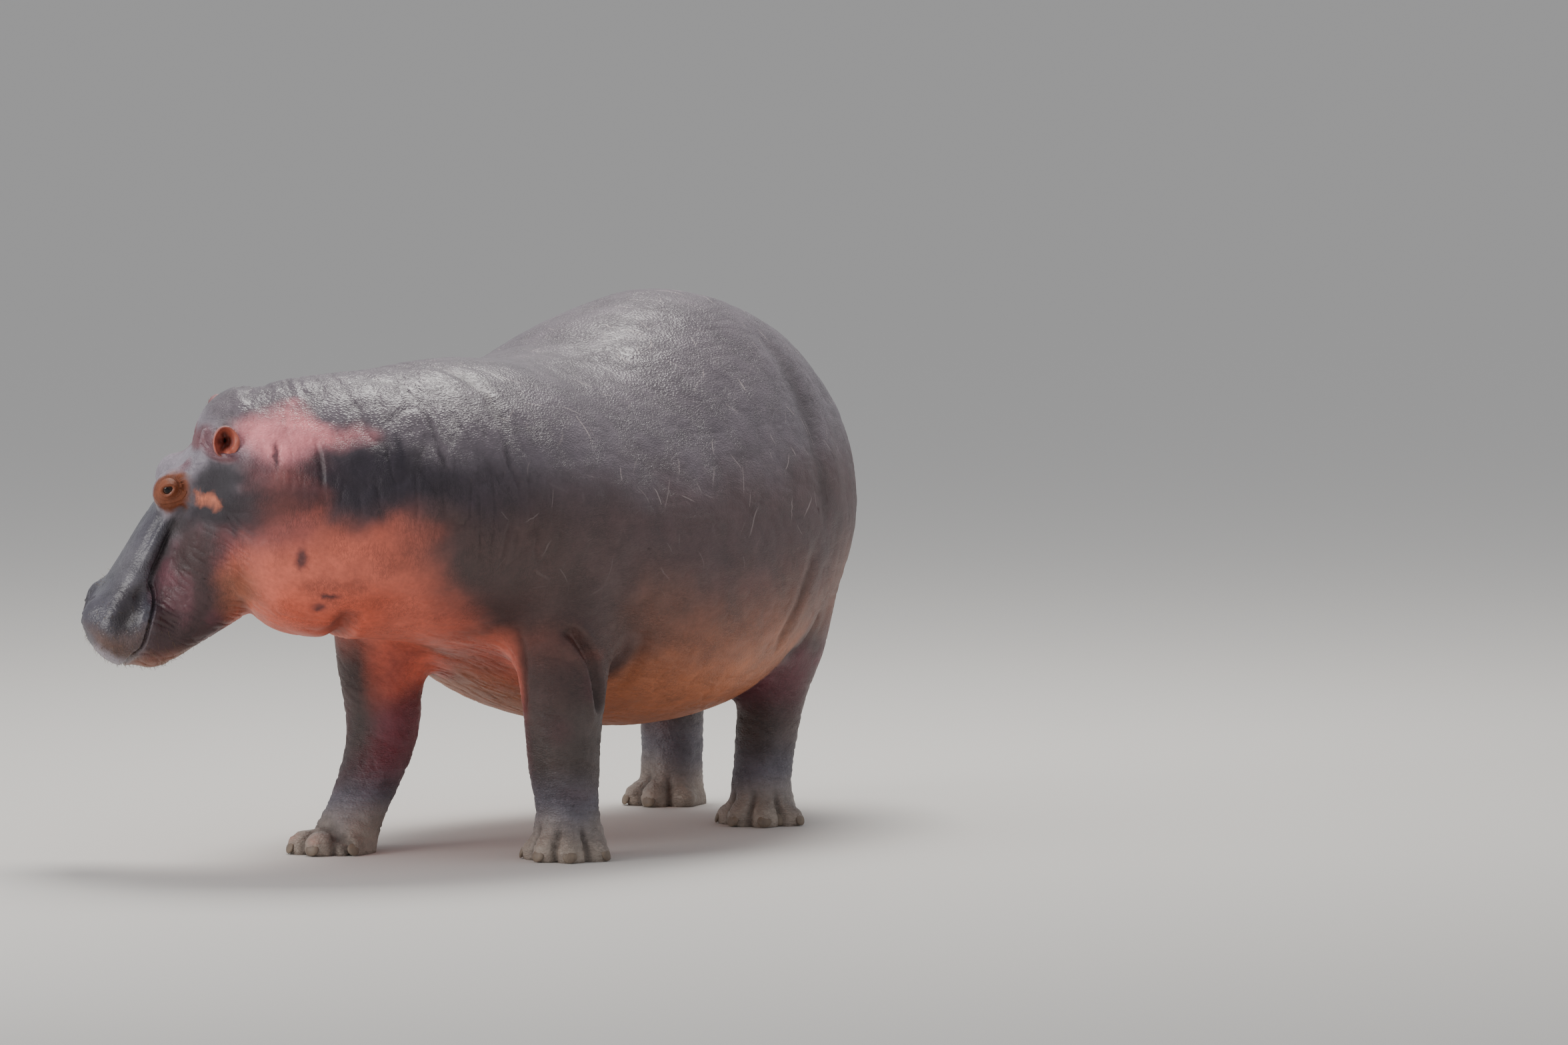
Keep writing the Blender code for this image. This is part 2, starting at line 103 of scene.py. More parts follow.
# Upper head, poll to nose: forward, top, underside, half width, squareness, widest level.
SKULL = grid(6,
    -60, -40, -250, 130, 2000, 0, 0, 4, -250, 155, 2100, 100, 70, 11, -240, 158, 2200, 100,
    140, -6, -220, 146, 2200, 100, 210, 10, -180, 128, 2300, 0, 290, 12, -130, 116, 2400, 0,
    370, 22, -100, 120, 2400, 0, 450, 27, -98, 134, 2500, 0, 530, 33, -108, 165, 2500, 0,
    590, 42, -125, 190, 2500, 0, 642, 42, -136, 192, 2400, 0, 678, 26, -134, 175, 2300, 0,
    704, -10, -122, 135, 2100, 0, 718, -48, -98, 70, 2000, 0)
# Lower jaw and cheeks, in the same columns.
JAW = grid(6,
    -40, -80, -290, 170, 2000, 0, 20, -50, -340, 215, 2100, 0, 100, -30, -360, 232, 2200, 0,
    200, -40, -370, 225, 2200, 0, 300, -50, -372, 198, 2200, 0, 380, -60, -357, 172, 2200, 0,
    460, -70, -325, 160, 2200, 0, 530, -80, -283, 165, 2200, 0, 600, -90, -238, 170, 2200, 0,
    655, -100, -204, 150, 2100, 0, 685, -118, -174, 110, 2000, 0, 697, -130, -150, 60, 2000, 0)
# Bulges on the head: forward, dorsal, sideways (both sides), and their three radii.
HEAD_BULGES = grid(6,
    238, -2, 98, 58, 46, 56, 192, -48, 80, 88, 46, 70, 615, 22, 105, 50, 30, 45, 590, -90, 150, 75, 52, 50)
# Haunches and shoulders: along, side and height of the middle, and the three radii.
MUSCLES = grid(6,
    -510, 210, 600, 190, 160, 300, -660, -210, 610, 190, 160, 300, 555, 250, 740, 200, 175, 300,
    545, -250, 740, 200, 175, 300)
# Legs, from the body to the sole: along, side, height, half length, half width.
LEGS = {
    "leg_front_left": grid(5,
        540, 240, 820, 180, 140, 575, 275, 640, 165, 135, 605, 303, 470, 128, 115, 610, 305, 330, 102, 98,
        600, 302, 220, 90, 90, 587, 303, 130, 80, 82, 588, 307, 60, 94, 92, 592, 312, 0, 108, 107,
        592, 312, -30, 108, 107),
    "leg_front_right": grid(5,
        540, -240, 820, 180, 140, 560, -265, 640, 165, 135, 575, -283, 470, 128, 112,
        582, -268, 320, 100, 95, 630, -263, 220, 88, 88, 697, -268, 120, 82, 82, 742, -277, 60, 90, 88,
        780, -285, 0, 104, 102, 780, -285, -30, 104, 102),
    "leg_hind_left": grid(5,
        -520, 210, 850, 200, 140, -520, 250, 640, 190, 130, -495, 262, 460, 140, 108,
        -470, 252, 330, 96, 89, -450, 245, 220, 84, 80, -437, 240, 110, 80, 78, -434, 243, 55, 88, 86,
        -432, 248, 0, 103, 101, -432, 248, -30, 103, 101),
    "leg_hind_right": grid(5,
        -620, -210, 850, 200, 140, -665, -238, 640, 175, 128, -715, -255, 460, 140, 108,
        -750, -252, 330, 96, 90, -757, -247, 220, 86, 83, -752, -245, 110, 83, 81, -747, -243, 55, 87, 85,
        -740, -242, 0, 98, 96, -740, -242, -30, 98, 96),
}
# Toes: angle from straight ahead, reach from the foot's middle, and radius.
TOES = ((-72.0, 0.132, 0.038), (-20.0, 0.138, 0.043), (20.0, 0.138, 0.043), (72.0, 0.132, 0.038))
TOE_OUT = math.radians(14.0)
TOE_LENGTH = 0.058
# Nails: half width on a toe of the radius NAIL_TOE, half height, half thickness, and height of the middle.
NAIL_WIDTH = 0.0175
NAIL_TOE = 0.04
NAIL_RISE = 0.0165
NAIL_THICK = 0.0065
NAIL_HEIGHT = 0.0175
# Tail: along, side, height, half thickness across the fall, half width.
TAIL = grid(5,
    -840, 0, 1075, 80, 110, -930, 0, 1045, 66, 86, -1005, 0, 975, 44, 60, -1030, 0, 870, 32, 46,
    -1034, 0, 765, 24, 36, -1029, 0, 670, 17, 28, -1024, 0, 630, 12, 18)
# Ear section from the bottom of the cup over the rim to the root: share of the rim's radius, and depth.
EAR_SECTION = grid(2,
    10, -32, 70, -31, 130, -28, 200, -22, 300, -18, 460, -15, 640, -10, 800, -3, 920, 4, 1000, 6, 1060, 2,
    1060, -6, 970, -15, 840, -24, 720, -34, 640, -48, 600, -66)

# Making of the skin: first melt, rounds of smoothing, the reach of smoothing at the legs' roots and its
# bands of strength, and the final count of triangles.
VOXEL = 0.012
SMOOTH_STEPS = 14
ROOT_REACH = 0.2
ROOT_STEPS = 120
ROOT_BANDS = 10
SKIN_TRIANGLES = 186000

# Furrows of the body: width, depth, lip as a share of depth, and the points that each runs through.
BODY_FURROWS = {
    "elbow_left": (0.016, 0.024, 0.25, grid(3,
        715, 345, 600, 680, 384, 585, 655, 400, 553, 632, 408, 520, 617, 411, 478, 600, 400, 410,
        590, 380, 370)),
    "elbow_left_2": (0.013, 0.01, 0.3, grid(3,
        540, 430, 590, 510, 425, 560, 480, 402, 520, 460, 370, 470, 455, 330, 430)),
    "elbow_left_3": (0.018, 0.007, 0.2, grid(3,
        440, 430, 590, 407, 420, 545, 381, 375, 490, 345, 320, 430, 320, 260, 390)),
    "elbow_right": (0.016, 0.022, 0.25, grid(3,
        540, -420, 640, 500, -420, 600, 470, -400, 560, 445, -375, 520, 430, -330, 450)),
    "elbow_right_2": (0.014, 0.008, 0.25, grid(3, 400, -430, 580, 370, -390, 520, 350, -340, 450)),
    "breast_left": (0.016, 0.009, 0.2, grid(3,
        770, 250, 620, 735, 255, 560, 712, 255, 500, 700, 250, 430, 690, 245, 370)),
    "withers": (0.022, 0.004, 0.3, grid(3,
        790, 30, 1275, 816, 127, 1252, 835, 200, 1215, 855, 250, 1170, 880, 295, 1110)),
    "shoulder_left": (0.009, 0.004, 0.4, grid(3,
        870, 280, 1140, 886, 305, 1090, 889, 325, 1046, 882, 345, 996, 870, 355, 940)),
    "neck_left": (0.008, 0.005, 0.5, grid(3,
        1005, 130, 1190, 1020, 160, 1155, 1034, 195, 1110, 1039, 219, 1069, 1043, 236, 1010)),
    "neck_left_2": (0.006, 0.005, 0.4, grid(3,
        1240, -32, 1115, 1247, -22, 1089, 1256, -8, 1057, 1263, 3, 1020, 1265, 6, 970)),
    "throat": (0.024, 0.006, 0.15, grid(3, 1140, -120, 600, 1150, -40, 615, 1155, 20, 640, 1172, 52, 675)),
    "thigh_left": (0.018, 0.006, 0.2, grid(3,
        -470, 398, 580, -450, 398, 530, -431, 383, 492, -400, 370, 462, -310, 380, 445)),
    "stifle_left": (0.03, 0.007, 0.15, grid(3,
        -330, 480, 780, -280, 490, 700, -250, 490, 640, -215, 480, 580, -190, 465, 525, -185, 430, 462)),
    "thigh_right": (0.018, 0.007, 0.2, grid(3,
        -560, -395, 560, -540, -380, 510, -490, -365, 460, -420, -350, 430)),
    "stifle_right": (0.03, 0.007, 0.15, grid(3,
        -400, -490, 720, -360, -490, 640, -330, -475, 570, -330, -440, 500, -360, -400, 450)),
    "haunch_left": (0.06, 0.008, 0.1, grid(3,
        -470, 200, 1310, -454, 269, 1253, -455, 330, 1186, -450, 380, 1119, -430, 420, 1038,
        -410, 440, 956, -400, 450, 850, -395, 450, 760)),
}
BODY_FURROWS["haunch_right"] = (*BODY_FURROWS["haunch_left"][:3], BODY_FURROWS["haunch_left"][3] * (1, -1, 1))
# Furrows of the head on both sides, in the same order, each course forward and dorsal.
HEAD_FURROWS = {
    "mouth": (0.0036, 0.011, 0.3, grid(2,
        462, -60, 476, -66, 493, -81, 515, -93, 536, -101, 564, -107, 591, -113, 620, -116, 658, -104,
        700, -98, 750, -95)),
    "over_lip": (0.012, 0.0045, 0.0, grid(2, 480, -42, 505, -52, 530, -66, 560, -78, 590, -86, 630, -86)),
    "valley": (0.017, 0.011, 0.0, grid(2,
        235, -62, 262, -56, 300, -51, 333, -50, 370, -54, 403, -58, 440, -58, 480, -60)),
    "valley_line": (0.005, 0.008, 0.2, grid(2,
        320, -52, 350, -52, 380, -56, 403, -60, 430, -60, 454, -60, 480, -66, 500, -80)),
    "jaw": (0.016, 0.005, 0.1, grid(2, 450, -345, 430, -320, 410, -300, 385, -285)),
    "ear_fold": (0.0045, 0.0035, 0.5, grid(2, 52, -8, 66, -14, 82, -24, 92, -40, 92, -60, 86, -78)),
    "ear_fold_2": (0.004, 0.0025, 0.5, grid(2, 46, 2, 68, -4, 88, -14, 102, -32, 104, -56, 98, -82)),
}
# Swellings of the head on both sides: forward, dorsal, sideways, three radii, and height.
HEAD_SWELLS = grid(7,
    600, 40, 100, 30, 40, 20, 4, 642, 20, 85, 40, 50, 60, 4, 480, -22, 150, 40, 26, 70, 7,
    570, -48, 170, 40, 22, 70, -10, 510, -46, 170, 16, 12, 60, -6, 530, -82, 175, 30, 13, 70, 8,
    590, -92, 170, 34, 14, 70, 7, 520, -122, 165, 60, 22, 60, 6, 610, -145, 150, 60, 22, 80, 5,
    400, -28, 135, 60, 14, 60, 7, 330, -10, 110, 80, 10, 50, -4, 400, -98, 190, 80, 30, 60, 5,
    180, -190, 225, 120, 80, 60, 6, 145, 10, 85, 30, 30, 40, 4)
# Nostrils: the slit's course forward and sideways, its width and its depth.
NOSTRIL = grid(2, 588, 66, 604, 56, 626, 55, 642, 66, 650, 82)
NOSTRIL_WIDTH = 0.0065
NOSTRIL_DEPTH = 0.02
# The jowl's notch: its place along the spine and slant, width, and depth.
JOWL_ALONG = 1.066
JOWL_SLANT = 0.25
JOWL_WIDTH = 0.02
JOWL_DEPTH = 0.02
# Grooves between toes.
TOE_GROOVE_WIDTH = 0.009
TOE_GROOVE_DEPTH = 0.012

# Eyelids: half angle of the opening across its slant and how much more it is along it, the skin's distance
# from the eye's middle inside and at the opening, the reach of the lids, and the creases round them: radius,
# width, depth, and how much of each lies below the eye only. Nothing past the ball round the eye moves.
LID_OPENING = (math.radians(24.0), math.radians(17.0))
LID_SLANT = 0.59
LID_INSIDE = 0.0165
LID_DISTANCE = 0.0252
LID_REACH = (0.024, 0.05)
LID_CREASES = (
    (0.0265, 0.002, 0.0038, 0.0),
    (0.0335, 0.002, 0.0024, 0.5),
    (0.0405, 0.0024, 0.0032, 0.9),
    (0.0485, 0.0026, 0.0028, 1.0),
)
LID_BALL = 0.09
# Where the eyes look: shares of forward, dorsal and outward.
GAZE = (0.1, 0.12, 0.985)

# Hide colours.
BACK_GREY = srgb(104, 95, 102)
FLANK_BROWN = srgb(90, 71, 72)
BELLY_WARM = srgb(124, 78, 62)
# Partly the belly's own tan, partly painted warm bounce light on the underside.
BELLY_TAN_AND_BOUNCE_LIGHT = srgb(178, 108, 74)
SALMON = srgb(212, 108, 87)
ROSE = srgb(112, 66, 70)
PINK = srgb(255, 152, 158)
SLATE = srgb(46, 39, 49)
SHOULDER_BROWN = srgb(78, 57, 55)
MUZZLE_SLATE = srgb(78, 75, 84)
# Painted shade where light falls off under the muzzle's bulge.
MUZZLE_SHADE = srgb(50, 43, 48)
MUZZLE_TAN = srgb(94, 66, 56)
CROWN_GREY = srgb(142, 134, 144)
LID_ORANGE = srgb(128, 69, 42)
TEMPLE_ORANGE = srgb(196, 111, 84)
JAW_PLUM = srgb(71, 50, 52)
LIP_PLUM = srgb(116, 67, 78)
TEMPLE_DARK = srgb(37, 31, 39)
# Painted shade in the valley below the eye.
VALLEY_SHADE = srgb(40, 28, 31)
EAR_MOUND = srgb(112, 68, 74)
EAR_CORAL = srgb(176, 92, 74)
# Painted shade deep inside the ear's cup.
EAR_CUP_SHADE = srgb(96, 42, 34)
LEG_GREY = srgb(78, 67, 65)
LEG_BLUE = srgb(102, 99, 110)
LEG_PLUM = srgb(96, 52, 60)
DUST = srgb(176, 160, 143)
JOWL_CORAL = srgb(206, 92, 66)
# Painted highlight on the top of the muzzle's bulge.
MUZZLE_PAINTED_HIGHLIGHT = srgb(124, 120, 126)
JAW_TAN = srgb(132, 84, 64)
# Painted shade in the deepest furrows and at the bottom of the ears' cups.
CREVICE_SHADE = srgb(34, 22, 22)

# Markings of the head on both sides, with outlines of painted shade under the muzzle's bulge and in the valley:
# outlines forward and dorsal.
HEAD_MARKS = {
    "rose_cheek": grid(2, 54, -115, 40, -179, 9, -262, 5, -340, 60, -340, 84, -259, 100, -172, 95, -125),
    "cheek_shade": grid(2, 209, -120, 150, -240, 80, -330, 140, -390, 235, -276, 270, -158),
    "temple_slate": grid(2,
        190, -28, 136, -46, 105, -62, 82, -98, 80, -141, 99, -173, 128, -150, 90, -190, 58, -249, 36, -309,
        5, -370, -20, -440, 60, -440, 82, -370, 112, -312, 160, -262, 210, -225, 240, -185, 270, -130,
        310, -95, 325, -83, 316, -56, 263, -62, 203, -48),
    "temple": grid(2,
        205, -55, 197, -71, 196, -81, 184, -86, 181, -97, 178, -106, 185, -118, 190, -128, 200, -132,
        210, -126, 213, -112, 220, -98, 228, -83, 225, -70, 216, -64),
    "lids": grid(2,
        264, 48, 238, 50, 214, 42, 188, 16, 178, -12, 190, -34, 221, -52, 250, -60, 272, -56, 288, -44,
        300, -30, 302, -14, 292, 0, 280, 18),
    "jaw": grid(2,
        305, -62, 272, -105, 262, -140, 292, -160, 330, -178, 372, -205, 430, -240, 480, -290, 560, -320,
        680, -280, 740, -190, 720, -110, 657, -112, 620, -118, 580, -112, 526, -98, 495, -83, 426, -66,
        360, -62),
    "lip_corner": grid(2, 427, -57, 402, -72, 408, -102, 432, -118, 464, -107, 495, -91, 474, -71),
    "muzzle": grid(2,
        267, 25, 308, -19, 308, -52, 364, -57, 419, -62, 465, -63, 496, -80, 532, -102, 584, -112,
        629, -116, 661, -103, 677, -55, 667, -1, 642, 35, 637, 45, 589, 41, 522, 32, 436, 24, 369, 21),
    "muzzle_low": grid(2, 668, -21, 669, -70, 651, -108, 609, -116, 565, -104, 595, -81, 631, -33, 637, 4),
    # Painted shade under the muzzle's bulge.
    "muzzle_shade": grid(2,
        522, -1, 494, -28, 477, -50, 515, -66, 554, -71, 595, -81, 617, -58, 615, -26, 571, -7),
    # Painted shade along the valley from below the eye to the mouth, over its furrow.
    "valley": grid(2,
        273, -75, 331, -64, 388, -69, 449, -69, 484, -72, 473, -52, 417, -46, 361, -43, 305, -50),
    "lid_top": grid(2, 236, 66, 216, 44, 200, 32, 182, 10, 172, -12, 142, -10, 150, 50),
}
# Markings of the body on both sides: outlines along the spine and in height.
BODY_MARKS = {
    "salmon": grid(2,
        1600, 856, 1302, 862, 1234, 872, 1163, 890, 1090, 912, 1040, 930, 1000, 930, 975, 905, 950, 850,
        925, 780, 880, 690, 800, 620, 690, 570, 560, 520, 480, 440, 450, 250, 1600, 250),
    "rose": grid(2,
        1320, 1060, 1239, 1045, 1147, 1050, 1110, 1017, 1120, 987, 1168, 975, 1210, 980, 1253, 988,
        1310, 995, 1330, 1020),
    "pink": grid(2,
        1290, 1080, 1276, 1125, 1259, 1149, 1214, 1172, 1173, 1178, 1135, 1165, 1090, 1140, 1040, 1115,
        1040, 1090, 1090, 1072, 1130, 1066, 1164, 1058, 1208, 1048, 1239, 1040, 1269, 1055),
    "slate_band": grid(2,
        1360, 1010, 1300, 1010, 1234, 1000, 1180, 1005, 1120, 1045, 1039, 1060, 945, 1058, 804, 1035,
        681, 975, 565, 911, 630, 864, 736, 873, 837, 896, 908, 910, 960, 930, 1040, 940, 1093, 925,
        1186, 895, 1234, 875, 1360, 850),
    "shoulder": grid(2,
        935, 900, 788, 911, 684, 851, 600, 742, 500, 640, 420, 540, 420, 420, 720, 420, 760, 560, 860, 680,
        920, 780),
}
# Small dark smudges of the neck and throat: place along the spine and in height, and two radii.
SMUDGES = grid(4,
    1172, 806, 10, 26, 1134, 680, 14, 11, 1117, 708, 20, 7, 1215, 1070, 6, 30, 990, 1080, 8, 40)

# Camera: its angle from straight ahead of the trunk towards the animal's left, its angle above level, its
# distance, its aim, and the width of its view.
CAMERA_TURN = math.radians(32.5)
CAMERA_RISE = math.radians(4.7)
CAMERA_AWAY = 40.0
CAMERA_AIM = (-0.3223, 0.3827, 0.8059)
VIEW_WIDTH = 4.0925
SENSOR = 36.0
# Lights: place from the camera's aim (towards the camera, up, and to its right), size, power, and colour.
LIGHTS = {
    "top_lamp": ((-1.9, 5.8, -0.2), 3.0, 430.0, (1.0, 0.97, 0.92)),
    "front_fill": ((3.0, 1.5, -5.2), 3.0, 130.0, (1.0, 0.98, 0.95)),
}
SKY = (0.86, 0.88, 0.92, 1.0)
SKY_STRENGTH = 0.55
FLOOR_RADIUS = 120.0

# Bristles: how many, shortest and longest, and half thickness.
BRISTLES = {
    "muzzle": (420, (0.008, 0.02), 0.00042),
    "chin": (70, (0.008, 0.018), 0.00042),
    "ears": (130, (0.005, 0.011), 0.00032),
    "tail": (260, (0.03, 0.06), 0.00055),
}

# Random values from -1 to 1 on a lattice, for the noise of relief and colour.
LATTICE = np.random.default_rng(11).random((64, 64, 64)) * 2.0 - 1.0


def unit(vectors):
    return vectors / np.linalg.norm(vectors, axis=-1, keepdims=True)


def step(values, low, high):
    """S-curve from 0 at low to 1 at high."""
    t = np.clip((values - low) / (high - low), 0.0, 1.0)
    return t * t * (3.0 - 2.0 * t)


def bell(values):
    return np.exp(-(values**2))


def mix(low, high, share):
    return low * (1.0 - share) + high * share


def circle(count):
    return np.arange(count) * 2 * math.pi / count


def noise(points, size, seed=0):
    """Field from -1 to 1 with features of that size: lattice values blended by an S-curve along each axis."""
    q = points / np.asarray(size, float) + seed * 7.37
    cell = np.floor(q).astype(int)
    f = q - cell
    f = f * f * (3.0 - 2.0 * f)
    total = np.zeros(len(q))
    for corner in np.ndindex(2, 2, 2):
        share = np.prod(np.where(corner, f, 1.0 - f), axis=1)
        i, j, k = ((cell + corner) & 63).T
        total += share * LATTICE[i, j, k]
    return total


def drift(points, seed, *sizes):
    """Vector noise that sums features of those sizes, each weighted by its size."""
    return sum(size * np.stack([noise(points, size, seed + i) for i in range(3)], axis=1) for size in sizes)


def wrinkles(points, size, seed, width=0.25):
    """0 to 1: thin winding lines where the noise field passes through zero."""
    return 1.0 - step(np.abs(noise(points, size, seed)), 0.0, width)


def spine_place(along):
    """Plan position and heading on the spine: straight to the neck, then an arc, then straight again."""
    bend = min(max((along - NECK_START) / NECK_RADIUS, 0.0), NECK_TURN)
    past = along - NECK_START - bend * NECK_RADIUS
    x = NECK_START + NECK_RADIUS * math.sin(bend) + past * math.cos(bend)
    y = -NECK_RADIUS * (1.0 - math.cos(bend)) - past * math.sin(bend)
    return np.array([x, y, 0.0]), -bend


def sideways(heading):
    """Unit vector to the animal's left."""
    return np.array([-math.sin(heading), math.cos(heading), 0.0])


def body_place(points):
    """Along the spine, to the left of it, and height, for each point: the reverse of spine_place."""
    x, y, z = points.T
    bend = np.clip(np.arctan2(x - NECK_START, y + NECK_RADIUS), 0.0, NECK_TURN)
    ahead = x > NECK_START
    along = np.where(ahead, NECK_START + NECK_RADIUS * bend, x)
    side = np.where(ahead, np.hypot(x - NECK_START, y + NECK_RADIUS) - NECK_RADIUS, y)
    return np.stack([along, side, z], axis=1)


def head_axes():
    """Origin at the top of the poll, and the head's forward, dorsal and left directions."""
    place, heading = spine_place(POLL_ALONG)
    ahead = np.array([math.cos(heading), math.sin(heading), 0.0])
    forward = ahead * math.cos(HEAD_PITCH) - UP * math.sin(HEAD_PITCH)
    dorsal = ahead * math.sin(HEAD_PITCH) + UP * math.cos(HEAD_PITCH)
    tilt = np.array(Matrix.Rotation(-HEAD_TILT, 3, Vector(ahead)))
    return place + UP * POLL_HEIGHT, tilt @ forward, tilt @ dorsal, tilt @ sideways(heading)


POLL, AHEAD, DORSAL, LEFT = head_axes()


def head_point(forward, dorsal, left):
    return POLL + AHEAD * forward + DORSAL * dorsal + LEFT * left


def head_place(points):
    """Forward, dorsal and left of the poll, for each point: the reverse of head_point."""
    return (points - POLL) @ np.stack([AHEAD, DORSAL, LEFT], axis=1)


def half_head(points):
    """Like head_place, with the right side folded on to the left."""
    place = head_place(points)
    place[:, 2] = np.abs(place[:, 2])
    return place


def smooth_rows(rows, count):
    """Catmull-Rom curve through the rows of a table, sampled count times."""
    rows = np.array(rows, float)
    ends = np.vstack([2 * rows[0] - rows[1], rows, 2 * rows[-1] - rows[-2]])
    t = np.linspace(0.0, len(rows) - 1.0, count)
    k = np.minimum(t.astype(int), len(rows) - 2)
    f = (t - k)[:, None]
    a, b, c, d = (ends[k + i] for i in range(4))
    return 0.5 * (2 * b + (c - a) * f + (2 * a - 5 * b + 4 * c - d) * f**2 + (3 * b - a - 3 * c + d) * f**3)


def rings(centres, ups, sides, square, widest, count):
    """Superellipses on a grid: centre + side * cos^(2/square) + up * sin^(2/square), lowered at the waist."""
    t = circle(count)
    power = 2.0 / np.reshape(square, (-1, 1))
    across = np.sign(np.cos(t)) * np.abs(np.cos(t)) ** power
    level = np.sign(np.sin(t)) * np.abs(np.sin(t)) ** power
    level = level - np.reshape(widest, (-1, 1)) * (1 - level**2)
    return centres[:, None] + across[..., None] * sides[:, None] + level[..., None] * ups[:, None]


def tube(points):
    """Closed mesh of a grid of points: quads between neighbouring rows, and a fan over each end row."""
    rows, columns, _ = points.shape
    i = np.arange(rows - 1)[:, None] * columns
    j = np.arange(columns)[None, :]
    k = (j + 1) % columns
    quads = np.stack([i + j, i + k, i + columns + k, i + columns + j], axis=-1).reshape(-1, 4)
    last, count = (rows - 1) * columns, rows * columns
    fans = [
        np.stack([a, b, np.full(columns, tip)], axis=-1).tolist()
        for a, b, tip in ((k[0], j[0], count), (last + j[0], last + k[0], count + 1))
    ]
    points = np.vstack([points.reshape(-1, 3), points[0].mean(axis=0), points[-1].mean(axis=0)])
    return points, quads.tolist() + fans[0] + fans[1]


def ellipsoid(centre, axes, radii, count=40):
    """Ellipsoid on a grid of latitude and longitude, as a closed tube."""
    lat = np.linspace(-math.pi / 2, math.pi / 2, count // 2 + 1)[1:-1, None]
    lon = circle(count)[None, :]
    a, b, c = (np.asarray(v) * r for v, r in zip(axes, radii))
    ring = np.cos(lat)[..., None] * (np.cos(lon)[..., None] * a + np.sin(lon)[..., None] * b)
    return tube(centre + ring + np.sin(lat)[..., None] * c * np.ones_like(lon)[..., None])


def joined(parts):
    """One list of points and faces from several."""
    points, faces, offset = [], [], 0
    for part_points, part_faces in parts:
        points.append(part_points)
        faces += [[i + offset for i in face] for face in part_faces]
        offset += len(part_points)
    return np.vstack(points), faces


@contextlib.contextmanager
def edited(mesh):
    """The mesh in edit form, written back at the end."""
    bm = bmesh.new()
    bm.from_mesh(mesh)
    yield bm
    bm.to_mesh(mesh)
    bm.free()


def placed(name, data):
    """New object of that data in the scene."""
    obj = bpy.data.objects.new(name, data)
    bpy.context.collection.objects.link(obj)
    return obj


def make_object(name, points, faces):
    """Object with its place in its mesh, faces outwards and smooth."""
    mesh = bpy.data.meshes.new(name)
    mesh.from_pydata(points.tolist(), [], faces)
    with edited(mesh) as bm:
        bmesh.ops.recalc_face_normals(bm, faces=bm.faces)
    mesh.shade_smooth()
    return placed(name, mesh)


def modify(obj, kind, **settings):
    """Applies one modifier with those settings to the object's mesh."""
    modifier = obj.modifiers.new(kind, kind)
    for key, value in settings.items():
        setattr(modifier, key, value)
    mesh = bpy.data.meshes.new_from_object(obj.evaluated_get(bpy.context.evaluated_depsgraph_get()))
    obj.modifiers.clear()
    old, obj.data = obj.data, mesh
    bpy.data.meshes.remove(old)


def read(items, field, width=3, kind=np.float32):
    """One field of all items, as rows."""
    flat = np.empty(len(items) * width, kind)
    items.foreach_get(field, flat)
    return flat.reshape(-1, width)


def read_points(mesh):
    return read(mesh.vertices, "co").astype(float)


def read_normals(mesh):
    return read(mesh.vertex_normals, "vector").astype(float)


def write_points(mesh, points):
    mesh.vertices.foreach_set("co", points.astype(np.float32).ravel())
    mesh.update()


def write_values(mesh, name, values, kind="FLOAT", field="value"):
    made = mesh.attributes.new(name, kind, "POINT")
    made.data.foreach_set(field, values.astype(np.float32).ravel())


def trunk_shell():
    rows = smooth_rows(TRUNK, 90)
    top, low = (np.array([spine_place(row[k])[0] + UP * row[k + 1] for row in rows]) for k in (0, 2))
    side = np.array([sideways(spine_place((row[0] + row[2]) / 2)[1]) * row[4] for row in rows])
    return tube(rings((top + low) / 2, (top - low) / 2, side, rows[:, 5], rows[:, 6], 72))


def head_shell(table):
    rows = smooth_rows(table, 70)
    forward, top, low, wide = (rows[:, k : k + 1] for k in range(4))
    centres = POLL + forward * AHEAD + (top + low) / 2 * DORSAL
    return tube(rings(centres, (top - low) / 2 * DORSAL, wide * LEFT, rows[:, 4], rows[:, 5], 56))


def leg_shell(table):
    rows = smooth_rows(table, 44)
    flat = np.zeros(len(rows))
    return tube(rings(rows[:, :3], rows[:, 3:4] * (1, 0, 0), rows[:, 4:5] * (0, 1, 0), flat + 2.2, flat, 36))


def tail_shell():
    rows = smooth_rows(TAIL, 40)
    across = np.array([0.0, 1.0, 0.0])
    thick = np.cross(unit(np.gradient(rows[:, :3], axis=0)), across) * rows[:, 3:4]
    flat = np.zeros(len(rows))
    return tube(rings(rows[:, :3], thick, rows[:, 4:5] * across, flat + 2.0, flat, 24))


def toe_places(name):
    """Middle of the foot, and each toe's direction outwards, reach and radius."""
    along, side = LEGS[name][-1][:2]
    out = math.copysign(TOE_OUT, side)
    turns = [math.radians(angle) + out for angle, _, _ in TOES]
    toes = [(np.array([math.cos(t), math.sin(t), 0.0]), *toe[1:]) for t, toe in zip(turns, TOES)]
    return np.array([along, side, 0.0]), toes


def toe_shells(name):
    middle, toes = toe_places(name)
    for ahead, reach, radius in toes:
        place = middle + UP * radius * 0.55 + ahead * (reach - TOE_LENGTH)
        yield ellipsoid(place, (ahead, np.cross(UP, ahead), UP), (TOE_LENGTH, radius, radius))


def smooth_in(obj, weight, rounds):
    """Smooths the mesh where the weight is above zero, in bands of strength."""
    group = obj.vertex_groups.new(name="smooth")
    for band in range(1, ROOT_BANDS + 1):
        picked = np.flatnonzero(np.round(weight * ROOT_BANDS) == band)
        group.add(picked.tolist(), band / ROOT_BANDS, "REPLACE")
    modify(obj, "SMOOTH", factor=0.5, iterations=rounds, vertex_group=group.name)
    obj.vertex_groups.clear()


